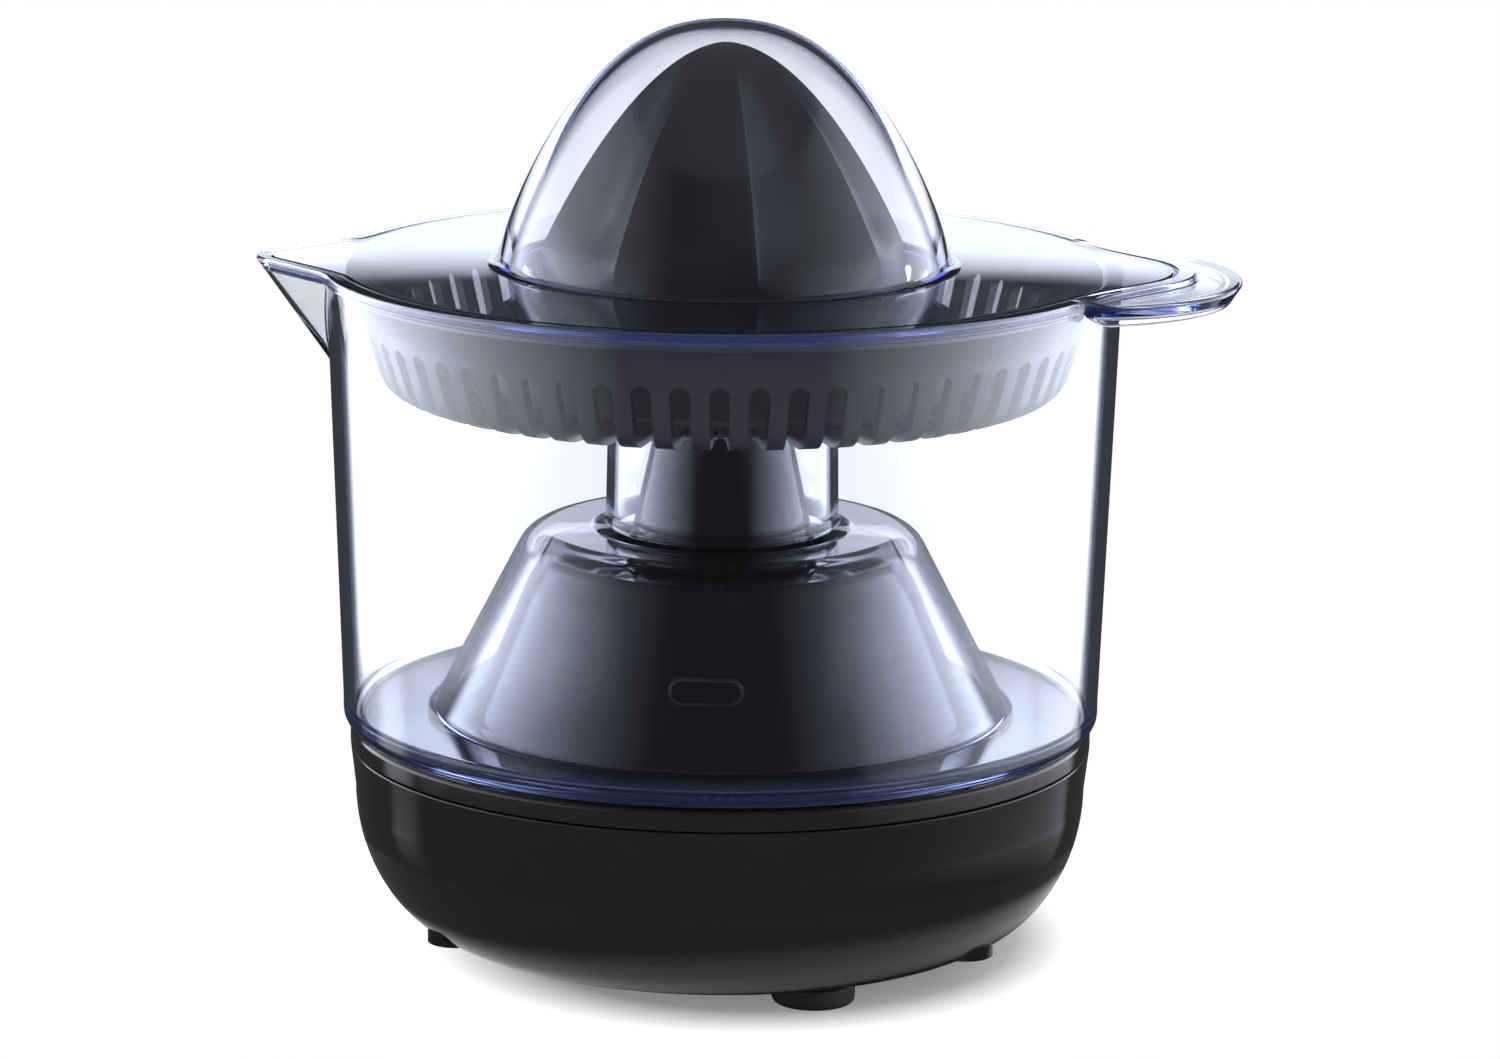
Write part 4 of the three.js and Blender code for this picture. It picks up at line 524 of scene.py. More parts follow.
class Nodes:
    """Small helper that adds nodes to a tree and links them."""

    def __init__(self, tree):
        self.tree = tree

    def add(self, kind, **values):
        """A node; values name its sockets with spaces as underscores, or its own settings."""
        node = self.tree.nodes.new(kind)
        for name, value in values.items():
            socket = node.inputs.get(name.replace("_", " "))
            if socket is None:
                setattr(node, name, value)
            else:
                self.fill((socket,), (value,))
        return node

    def link(self, out, into):
        """A link between two sockets."""
        self.tree.links.new(out, into)

    def math(self, operation, first, second=0.0, clamp=False):
        """Output of a Math node."""
        node = self.tree.nodes.new("ShaderNodeMath")
        node.operation = operation
        node.use_clamp = clamp
        self.fill(node.inputs, (first, second))
        return node.outputs[0]

    def fill(self, sockets, values):
        """Links or sets each socket."""
        for socket, value in zip(sockets, values):
            if isinstance(value, bpy.types.NodeSocket):
                self.tree.links.new(value, socket)
            else:
                socket.default_value = value

    def vector(self, operation, *values):
        """Output of a Vector Math node: a number for a length or a distance, otherwise a vector."""
        node = self.tree.nodes.new("ShaderNodeVectorMath")
        node.operation = operation
        self.fill(node.inputs, values)
        return node.outputs["Value" if operation in ("DISTANCE", "LENGTH") else "Vector"]

    def mix(self, factor, first, second):
        """Output of a colour mix: first at factor 0, second at 1."""
        node = self.tree.nodes.new("ShaderNodeMix")
        node.data_type = "RGBA"
        self.fill((node.inputs[0], node.inputs[6], node.inputs[7]), (factor, first, second))
        return node.outputs[2]

    def ramp(self, factor, *stops):
        """Output of a colour ramp; each stop is a place and a grey or a colour."""
        node = self.tree.nodes.new("ShaderNodeValToRGB")
        elements = node.color_ramp.elements
        while len(elements) < len(stops):
            elements.new(0.5)
        for element, (place, value) in zip(elements, stops):
            element.position = place
            element.color = (value, value, value, 1) if np.isscalar(value) else (*value, 1)
        self.link(factor, node.inputs[0])
        return node.outputs[0]


def new_material(name):
    """Plain material, with the helper of its nodes."""
    material = bpy.data.materials.new(name)
    material.use_nodes = True
    return material, Nodes(material.node_tree)


def new_group(name, inputs):
    """Node group with named inputs, and with Colour, Roughness and Height as what it gives.

    Returns it with its nodes' helper and its two ends.
    """
    group = bpy.data.node_groups.new(name, "ShaderNodeTree")
    for socket_name, kind, default in inputs:
        socket = group.interface.new_socket(socket_name, in_out="INPUT", socket_type=kind)
        socket.default_value = default
    for socket_name, kind in (("Colour", "Color"), ("Roughness", "Float"), ("Height", "Float")):
        group.interface.new_socket(socket_name, in_out="OUTPUT", socket_type=f"NodeSocket{kind}")
    helper = Nodes(group)
    return group, helper, helper.add("NodeGroupInput"), helper.add("NodeGroupOutput")


def moulded_surface():
    """Group: faint flow of moulded plastic and handling marks.

    Colour is the base colour varied by a broad noise; Roughness is the given one plus a share of a
    fine noise and of a few smudges; Height is the slow waviness of the moulding plus a fine grain.
    """
    group, n, given, out = new_group(
        "Moulded surface",
        [
            ("Colour", "NodeSocketColor", (0.5, 0.5, 0.5, 1)),
            ("Roughness", "NodeSocketFloat", 0.2),
            ("Variation", "NodeSocketFloat", 0.1),
            ("Smudge", "NodeSocketFloat", 0.05),
            ("Grain", "NodeSocketFloat", 0.2),
            ("Grain scale", "NodeSocketFloat", 2500),
        ],
    )
    place = n.add("ShaderNodeTexCoord").outputs["Object"]
    broad = n.add("ShaderNodeTexNoise", Vector=place, Scale=38.0, Detail=3.0).outputs["Fac"]
    smudge = n.add("ShaderNodeTexNoise", Vector=place, Scale=90.0, Detail=6.0, Roughness=0.65).outputs["Fac"]
    grain = n.add("ShaderNodeTexNoise", Vector=place, Scale=given.outputs["Grain scale"], Detail=2.0)
    marks = n.ramp(smudge, (0.48, 0.0), (0.66, 1.0))
    shift = n.math("MULTIPLY", n.math("SUBTRACT", broad, 0.5), given.outputs["Variation"])
    lightness = n.math("ADD", shift, 1.0)
    tinted = n.add("ShaderNodeHueSaturation", Color=given.outputs["Colour"], Value=lightness)
    rough = n.math("ADD", given.outputs["Roughness"], n.math("MULTIPLY", marks, given.outputs["Smudge"]))
    waves = n.math("MULTIPLY", broad, 0.6)
    fine = n.math("MULTIPLY", grain.outputs["Fac"], given.outputs["Grain"])
    n.link(tinted.outputs["Color"], out.inputs["Colour"])
    n.link(n.math("ADD", rough, n.math("MULTIPLY", shift, 0.2), clamp=True), out.inputs["Roughness"])
    n.link(n.math("ADD", waves, fine), out.inputs["Height"])
    return group


def brushed_metal():
    """Group: rolled or turned metal.

    Colour darkens in the low places of a noise stretched along one direction; Roughness follows the
    same noise, and so does Height.
    """
    group, n, given, out = new_group(
        "Rolled metal",
        [
            ("Colour", "NodeSocketColor", (0.5, 0.5, 0.5, 1)),
            ("Roughness", "NodeSocketFloat", 0.3),
            ("Stretch", "NodeSocketVector", (1500, 1500, 60)),
        ],
    )
    place = n.add("ShaderNodeTexCoord").outputs["Object"]
    stretched = n.vector("MULTIPLY", place, given.outputs["Stretch"])
    lines = n.add("ShaderNodeTexNoise", Vector=stretched, Scale=1.0, Detail=4.0).outputs["Fac"]
    spots = n.add("ShaderNodeTexNoise", Vector=place, Scale=220.0, Detail=4.0).outputs["Fac"]
    shade_of = n.math("ADD", n.math("MULTIPLY", lines, 0.3), n.math("MULTIPLY", spots, 0.3))
    lightness = n.math("ADD", shade_of, 0.7)
    tinted = n.add("ShaderNodeHueSaturation", Color=given.outputs["Colour"], Value=lightness)
    rough = n.math("ADD", given.outputs["Roughness"], n.math("MULTIPLY", shade_of, 0.2), clamp=True)
    n.link(tinted.outputs["Color"], out.inputs["Colour"])
    n.link(rough, out.inputs["Roughness"])
    n.link(lines, out.inputs["Height"])
    return group


def finish_from(name, group, bump, distance, values, **shader):
    """Material: a finish group feeds colour, roughness and a bump; plain values go on the shader."""
    _, n = new_material(name)
    principled = n.tree.nodes["Principled BSDF"]
    effect = n.add("ShaderNodeGroup")
    effect.node_tree = group
    for socket_name, value in values.items():
        effect.inputs[socket_name].default_value = value
    relief = n.add("ShaderNodeBump", Strength=bump, Distance=distance, Height=effect.outputs["Height"])
    n.link(effect.outputs["Colour"], principled.inputs["Base Color"])
    n.link(effect.outputs["Roughness"], principled.inputs["Roughness"])
    n.link(relief.outputs["Normal"], principled.inputs["Normal"])
    for socket_name, value in shader.items():
        principled.inputs[socket_name.replace("_", " ")].default_value = value


def clear_plastic(name, tones):
    """Clear moulded plastic: a glass-like shader, bluish where it is seen edge on and where it is deep.

    Upright faces of the brim and of the jug's foot also give off a little blue: a painted glow that stands in
    for the light thick edges gather, though they are no lamp. Ramps over 200 mm of height pick the two bands,
    and one over 100 mm from the axis keeps to the rim.
    """
    _, n = new_material(name)
    principled = n.tree.nodes["Principled BSDF"]
    facing = n.add("ShaderNodeLayerWeight", Blend=0.5).outputs["Facing"]
    face_on, slanting, edge_on = tuple(tones.clear), tuple(tones.clear_edge), tuple(tones.clear_rim)
    tint = n.ramp(facing, (0.0, face_on), (0.78, face_on), (0.88, slanting), (0.97, edge_on))
    place = n.add("ShaderNodeTexCoord").outputs["Object"]
    marks = n.add("ShaderNodeTexNoise", Vector=place, Scale=70.0, Detail=5.0).outputs["Fac"]
    waves = n.add("ShaderNodeTexNoise", Vector=place, Scale=22.0, Detail=1.0).outputs["Fac"]
    relief = n.add("ShaderNodeBump", Strength=0.04, Distance=0.0006, Height=waves)
    n.link(tint, principled.inputs["Base Color"])
    n.link(n.ramp(marks, (0.5, 0.006), (0.75, 0.03)), principled.inputs["Roughness"])
    n.link(relief.outputs["Normal"], principled.inputs["Normal"])
    height = n.add("ShaderNodeSeparateXYZ", Vector=place).outputs["Z"]
    normal = n.add("ShaderNodeNewGeometry").outputs["Normal"]
    upwards = n.add("ShaderNodeSeparateXYZ", Vector=normal).outputs["Z"]
    upright = n.ramp(n.math("ABSOLUTE", upwards), (0.35, 1.0), (0.75, 0.0))
    brim_band = (121.2 / 200, 0.0), (122.4 / 200, 1.0), (125 / 200, 1.0), (126.4 / 200, 0.0)
    brim = n.ramp(n.math("MULTIPLY", height, 5.0), *brim_band)
    foot = n.ramp(n.math("MULTIPLY", height, 5.0), (44.8 / 200, 1.0), (47.2 / 200, 0.0))
    outwards = n.vector("LENGTH", n.vector("MULTIPLY", place, (10, 10, 0)))
    rim = n.ramp(outwards, (57 / 100, 0.0), (62 / 100, 1.0))
    # Painted glow: upright faces in the brim and foot bands near the rim give off this blue, though no lamp.
    painted_edge_glow = n.math("MULTIPLY", n.math("MULTIPLY", upright, rim), n.math("ADD", brim, foot))
    glow = n.mix(painted_edge_glow, (0, 0, 0, 1), (*tones.painted_edge_glow, 1))
    n.link(glow, principled.inputs["Emission Color"])
    principled.inputs["Emission Strength"].default_value = 1.0
    principled.inputs["Transmission Weight"].default_value = 1.0
    principled.inputs["IOR"].default_value = 1.5
    depth = n.add("ShaderNodeVolumeAbsorption", Color=(*tones.absorb, 1), Density=50.0)
    n.link(depth.outputs["Volume"], n.tree.nodes["Material Output"].inputs["Volume"])


def make_finishes(tones):
    """Every finish of the press."""
    moulded, rolled = moulded_surface(), brushed_metal()

    def plastic(name, rgb, roughness, variation, smudge, grain, scale, bump=0.12, **shader):
        values = {
            "Colour": (*rgb, 1),
            "Roughness": roughness,
            "Variation": variation,
            "Smudge": smudge,
            "Grain": grain,
            "Grain scale": scale,
        }
        finish_from(name, moulded, bump, 0.0002, values, **shader)

    def metal(name, rgb, roughness, stretch, bump=0.15):
        values = {"Colour": (*rgb, 1), "Roughness": roughness, "Stretch": stretch}
        finish_from(name, rolled, bump, 0.0001, values, Metallic=1.0)

    plastic("Gloss black plastic", tones.black, 0.07, 0.15, 0.05, 0.02, 3000, bump=0.03, IOR=1.35)
    plastic("Satin charcoal plastic", tones.charcoal, 0.33, 0.06, 0.04, 0.02, 2600, bump=0.004, IOR=1.42)
    plastic("Satin grey plastic", tones.strainer, 0.33, 0.06, 0.04, 0.02, 2600, bump=0.004, IOR=1.62)
    plastic("Black rubber", tones.rubber, 0.62, 0.3, 0.15, 1.0, 2600, bump=0.35)
    plastic("Cream gear plastic", (0.78, 0.74, 0.62), 0.42, 0.12, 0.08, 0.5, 2500)
    plastic("Dark engineering plastic", (0.022, 0.022, 0.024), 0.45, 0.2, 0.1, 0.6, 2500)
    plastic("White plastic", (0.76, 0.76, 0.74), 0.45, 0.1, 0.08, 0.5, 2500)
    metal("Rolled steel", (0.56, 0.57, 0.58), 0.28, (1500, 1500, 60))
    metal("Lamination steel", (0.3, 0.3, 0.31), 0.42, (60, 60, 4200), bump=0.4)
    metal("Enamelled copper", (0.62, 0.27, 0.12), 0.3, (2600, 60, 60), bump=0.5)
    metal("Sintered bronze", (0.55, 0.38, 0.17), 0.38, (900, 900, 900), bump=0.3)
    clear_plastic("Clear plastic", tones)


# Finish of each node of the frame that stays as it is.
FRAME_FINISHES = {
    "Rolled steel": (
        "chassis_plate",
        "first_gear_pin",
        "second_gear_pin",
        "rotor_bracket",
        *(f"{kind}_screw_{k}" for kind in ("chassis", "cover", "housing") for k in (1, 2, 3)),
        "motor_screw_1",
        "motor_screw_2",
    ),
    "Dark engineering plastic": ("gearbox_cover", "microswitch_body", "switch_lever"),
    "Cream gear plastic": ("first_gear", "second_gear", "output_gear"),
    "White plastic": ("coil_bobbin", "switch_plunger"),
    "Lamination steel": ("stator_frame", "stator_bar", "rotor"),
    "Enamelled copper": ("coil_winding",),
    "Sintered bronze": ("rotor_pinion", "lower_shaft_bush", "upper_shaft_bush"),
}


# ---------------------------------------------------------------- outlines shared by jug and cover


def cover_outline(turn, cover):
    """Edge of the cover: its brim with a pointed lobe over the spout and one over the handle."""
    spout = wedge(from_spout(turn), cover.spout_tip, cover.tip_radius, cover.half_angle)
    handle = wedge(turn, cover.handle_tip, cover.handle_tip_radius, cover.half_angle)
    return soft_max(soft_max(cover.radius, spout, 1.2 / MM), handle, 0.8 / MM)


# ---------------------------------------------------------------- operators


class PRESS_OT_finishes(bpy.types.Operator):
    """Make every finish and give the frame's inner parts theirs"""

    bl_idname = "press.finishes"
    bl_label = "Finishes"

    def execute(self, context):
        make_finishes(context.scene.press_colours)
        for finish, names in FRAME_FINISHES.items():
            for name in names:
                piece = frame["nodes"][name]
                piece.data.materials.clear()
                piece.data.materials.append(bpy.data.materials[finish])
        return {"FINISHED"}


class PRESS_OT_lower_shell(bpy.types.Operator):
    """Lower base shell: a flat bottom, a big elliptical corner and a plain wall up to the seam"""

    bl_idname = "press.lower_shell"
    bl_label = "Lower shell"

    def execute(self, context):
        base, parts = context.scene.press_base, context.scene.press_round
        bottom = BASE_LOW.z
        seam = base.seam_height - base.seam_gap / 2
        centre_radius = base.flat_radius
        centre_height = bottom + base.corner_rise
        width = base.seam_radius - SETBACK - centre_radius

        def corner(inset, angles):
            """Quarter ellipse: (r + w·cos a, z + h·sin a)."""
            across, rise = width - inset, base.corner_rise - inset
            angles = np.radians(angles)
            return [(centre_radius + across * np.cos(a), centre_height + rise * np.sin(a), 0) for a in angles]

        outside = corner(0, np.linspace(-90, 0, 31))
        inside = corner(base.wall, np.linspace(0, -90, 19))
        points = [
            (0, bottom, 0),
            (centre_radius - 0.5 * MM, bottom, 0),
            *outside,
            (base.seam_radius, seam, 0.25),
            (base.seam_radius - base.wall, seam, 0),
            *inside,
            (0, bottom + base.wall, 0),
        ]
        shell = turned("base_lower_shell", points, parts.shell_columns, parts.fillet_steps, closed=False)
        for k in (1, 2, 3):
            low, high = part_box(f"housing_screw_{k}")
            middle = (low + high) / 2
            well_top = low.z + 2.2 * MM
            for tool, radius, start, end, operation in (
                ("sleeve", 5, bottom + 2 * MM, well_top + 2 * MM, "UNION"),
                ("well", 3.4, bottom - 1 * MM, well_top, "DIFFERENCE"),
            ):
                ends = (middle.x, middle.y, start), (middle.x, middle.y, end)
                combine(shell, bar(tool, radius * MM, *ends, 32), operation)
        middle, way = outward("cord_inlet")
        ends = (Vector((*AXIS, middle.z)) + way * (base.seam_radius + reach * MM) for reach in (-12, 5))
        combine(shell, bar("hole", 5.3 * MM, *ends, 48), "DIFFERENCE")
        settle(shell, "base", "Gloss black plastic", "lower_housing")
        return {"FINISHED"}


class PRESS_OT_upper_shell(bpy.types.Operator):
    """Upper base shell: rim band, deck, hump with its key, and the hollow tower for the shaft"""

    bl_idname = "press.upper_shell"
    bl_label = "Upper shell"

    def execute(self, context):
        base, parts = context.scene.press_base, context.scene.press_round
        seam = base.seam_height + base.seam_gap / 2
        deck = base.deck_height
        top = TOWER_HIGH.z
        wall = 2.2 * MM
        waist = 92 * MM
        lip = base.seam_radius - base.wall - base.seam_gap
        lip_end = seam - 2.75 * MM
        under = base.hump_top - wall
        points = [
            (base.seam_radius, seam, 0.25),
            (base.seam_radius, deck, 0.7),
            (base.hump_foot + 0.6 * MM, deck, 2.2),
            (base.hump_shoulder, SHOULDER, 9),
            (base.hump_shoulder - 3.2 * MM, base.hump_top, 3),
            (base.tower_foot, base.hump_top + 0.3 * MM, 2.2),
            (base.tower_waist, waist, 30),
            (base.tower_top, top, 0.8),
            (7.6 * MM, top, 0.3),
            (7.6 * MM, top - wall, 0),
            (5.2 * MM, top - wall, 0),
            (5.2 * MM, top - 4 * MM, 0),
            (8.8 * MM, top - 4 * MM, 0),
            (8.8 * MM, top - 12 * MM, 0),
            (base.tower_waist - wall, waist, 0),
            (base.tower_foot - wall, under, 1),
            (base.hump_shoulder - 4.6 * MM, under, 3),
            (base.hump_shoulder - wall, SHOULDER - 0.6 * MM, 6),
            (base.hump_foot - 1.4 * MM, deck - wall, 1),
            (lip - 1.4 * MM, deck - wall, 1),
            (lip - 1.4 * MM, lip_end, 0),
            (lip, lip_end, 0.3),
            (lip, seam, 0),
        ]
        shell = turned("base_upper_shell", points, parts.shell_columns, parts.fillet_steps)
        combine(shell, self.key(base), "UNION")
        settle(shell, "base", "Gloss black plastic", "upper_housing")
        # Painted highlight: the key's edge gets the strainer's paler satin grey, standing in for the light it
        # catches.
        self.key_painted_highlight(shell, base)
        return {"FINISHED"}

    def key_face(self, base):
        """How far in front of the axis the flat of the key stands."""
        proud = 1.9 * MM
        share = (base.key_level - base.deck_height) / (SHOULDER - base.deck_height)
        return blend(base.hump_foot, base.hump_shoulder, share) + proud

    def key_painted_highlight(self, shell, base):
        """Painted highlight: the key's rounded edge, the faces between its flat and 1 mm behind it, in paler
        grey.
        """
        shell.data.materials.append(bpy.data.materials["Satin grey plastic"])
        faces = shell.data.polygons
        centre = np.empty(3 * len(faces))
        faces.foreach_get("center", centre)
        across, forwards, height = (centre.reshape(-1, 3) - (*AXIS, base.key_level)).T
        behind = self.key_face(base) + forwards
        within = (np.abs(across) < base.key_width / 2) & (np.abs(height) < base.key_height / 2)
        edge = within & (behind > 0.02 * MM) & (behind < 1 * MM)
        faces.foreach_set("material_index", edge.astype(np.int32))

    def key(self, base):
        """Raised obround with a rounded edge: an obround outline carried out along -Y."""
        half = (base.key_width - base.key_height) / 2
        turn = np.linspace(0, 2 * np.pi, 64, endpoint=False)[:, None]
        rings = [(0, 6), (1, 6), (1, 1), (0.97, 0.5), (0.89, 0.15), (0.76, 0), (0, 0)]
        share, back = np.array(rings).T
        radius = base.key_height / 2 * share
        side = np.where(np.cos(turn) > 0, half, -half) * (share > 0)
        across = AXIS[0] + side + radius * np.cos(turn)
        forwards = AXIS[1] - (self.key_face(base) - back * MM) + 0 * turn
        grid = np.stack([across, forwards, base.key_level + radius * np.sin(turn)], -1)
        return make_object("key", grid, quads(grid, True, False))


class PRESS_OT_feet(bpy.types.Operator):
    """Three rubber feet with a rounded tread and a barbed neck"""

    bl_idname = "press.feet"
    bl_label = "Feet"

    def execute(self, context):
        parts = context.scene.press_round
        for side in ("front", "rear", "left"):
            node = f"foot_{side}"
            low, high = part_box(node)
            middle = (low + high) / 2
            radius = (high.y - low.y) / 2 / MM
            base, top = BASE_LOW.z / MM, high.z / MM
            points = [
                (0, 0.5, 0),
                (radius - 3.2, 0.5, 0.3),
                (radius - 2.8, 0, 0.4),
                (radius, 0, 0.9),
                (radius, base - 0.3, 0.5),
                (2.6, base - 0.3, 0.1),
                (2.6, base + 2.7, 0),
                (3.6, base + 2.7, 0.1),
                (2.0, top, 0.2),
                (0, top, 0),
            ]
            centre, fine = (middle.x, middle.y), (parts.small_columns, parts.fillet_steps)
            piece = turned(f"foot_{side}_pad", raised(points), *fine, centre, closed=False)
            settle(piece, "base", "Black rubber", node)
        return {"FINISHED"}


class PRESS_OT_inlet(bpy.types.Operator):
    """Rubber gland in the rear wall, with a rounded mouth"""

    bl_idname = "press.inlet"
    bl_label = "Cord inlet"

    def execute(self, context):
        base, parts = context.scene.press_base, context.scene.press_round
        middle, way = outward("cord_inlet")
        flange = [(2.6, -6, 0.3), (6.5, -6, 0.2), (6.5, -4.4, 0.2), (5, -4.4, 0)]
        profile = filleted(raised([*flange, (5, 0.6, 0.8), (2.6, 0.6, 0.9)]), parts.fillet_steps)
        tilt = np.array(way.to_track_quat("Z", "Y").to_matrix())
        face = Vector((*AXIS, middle.z)) + way * (base.seam_radius - SETBACK)
        grid = swing(profile, around(parts.small_columns), (0, 0)) @ tilt.T + np.array(face)
        piece = make_object("cord_inlet_gland", grid, quads(grid, True, True))
        settle(piece, "base", "Black rubber", "cord_inlet")
        return {"FINISHED"}


class PRESS_OT_shaft(bpy.types.Operator):
    """Drive shaft with its collar and hexagonal end, and the seal round it"""

    bl_idname = "press.shaft"
    bl_label = "Drive shaft and seal"

    def execute(self, context):
        parts = context.scene.press_round
        fine = parts.small_columns, parts.fillet_steps
        low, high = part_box("drive_shaft")
        collar = [(4, 40, 0), (6.5, 40, 0.2), (6.5, 41.5, 0.2), (4, 41.5, 0)]
        points = [(0, low.z, 0), (4 * MM, low.z, 0.8), *raised([*collar, (4, 111, 0.3), (0, 111, 0)])]
        shaft = turned("drive_shaft_turned", points, *fine, closed=False)
        combine(shaft, self.hexagon(high.z), "UNION")
        for side in (-1, 1):
            combine(shaft, self.flat(side), "DIFFERENCE")
        settle(shaft, "drive_shaft", "Rolled steel", "drive_shaft")
        low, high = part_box("shaft_seal")
        lips = [(6.2, 1.6, 0.2), (5.6, 1.1, 0.3), (5, 1.6, 0.2), (4.3, 1.6, 0.2)]
        points = [(4.3, 0, 0.1), (7.3, 0, 0.1), (7.3, 1.6, 0.3), *lips]
        seal = turned("shaft_seal_ring", raised(points, low.z), *fine)
        settle(seal, "base", "Black rubber", "shaft_seal")
        return {"FINISHED"}

    def hexagon(self, top):
        """Hexagonal end with a chamfered top; its corners lie on a circle of 4 mm radius."""
        turn = np.radians(np.arange(0, 360, 60))[:, None] + np.pi / 2
        top = top / MM
        profile = np.array([[0, 110.5], [4, 110.5], [4, top - 0.8], [3.2, top], [0, top]]) * MM
        grid = swing(profile, turn)
        return make_object("hexagon", grid, quads(grid, True, False))

    def flat(self, side):
        """Block that cuts one of the shaft's two flats."""
        near, far = AXIS[1] + side * 3.2 * MM, AXIS[1] + side * 8 * MM
        across, share = np.array([[-8, 8, 8, -8], [1, 1, 0, 0]])[..., None]
        ends = np.array([[41.5 * MM, 60 * MM]])
        grid = np.stack(np.broadcast_arrays(AXIS[0] + across * MM, blend(near, far, share), ends), -1)
        ends = np.repeat(grid.mean(0, keepdims=True), 4, 0)
        closed = np.concatenate([ends[:, :1], grid, ends[:, 1:]], 1)
        return make_object("flat", closed, quads(closed, True, False))


class PRESS_OT_spring(bpy.types.Operator):
    """Return spring under the collar of the shaft, as one fixed coil"""

    bl_idname = "press.spring"
    bl_label = "Return spring"

    def execute(self, context):
        """Helix (R·cos a, R·sin a, z + h·a/a_end) with a round wire set square to it."""
        size = context.scene.press_spring
        low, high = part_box("return_spring")
        bottom, top = low.z + size.wire, high.z - size.wire
        turn = np.linspace(0, 2 * np.pi * size.turns, 121)[:, None]
        round_wire = around(16).T
        climb = np.arctan2(top - bottom, 2 * np.pi * size.turns * size.radius)
        out = size.radius + size.wire * np.cos(round_wire)
        rise = size.wire * np.sin(round_wire)
        level = bottom + (top - bottom) * turn / turn[-1]
        across = AXIS[0] + out * np.cos(turn) + rise * np.sin(climb) * np.sin(turn)
        forwards = AXIS[1] + out * np.sin(turn) - rise * np.sin(climb) * np.cos(turn)
        grid = np.stack([across, forwards, level + rise * np.cos(climb)], -1)
        ends = np.repeat(grid[[0, -1]].mean(1, keepdims=True), grid.shape[1], 1)
        closed = np.concatenate([ends[:1], grid, ends[1:]])
        spring = make_object("return_spring_coil", closed, quads(closed, False, True))
        settle(spring, "base", "Rolled steel", "return_spring")
        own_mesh(spring)
        return {"FINISHED"}


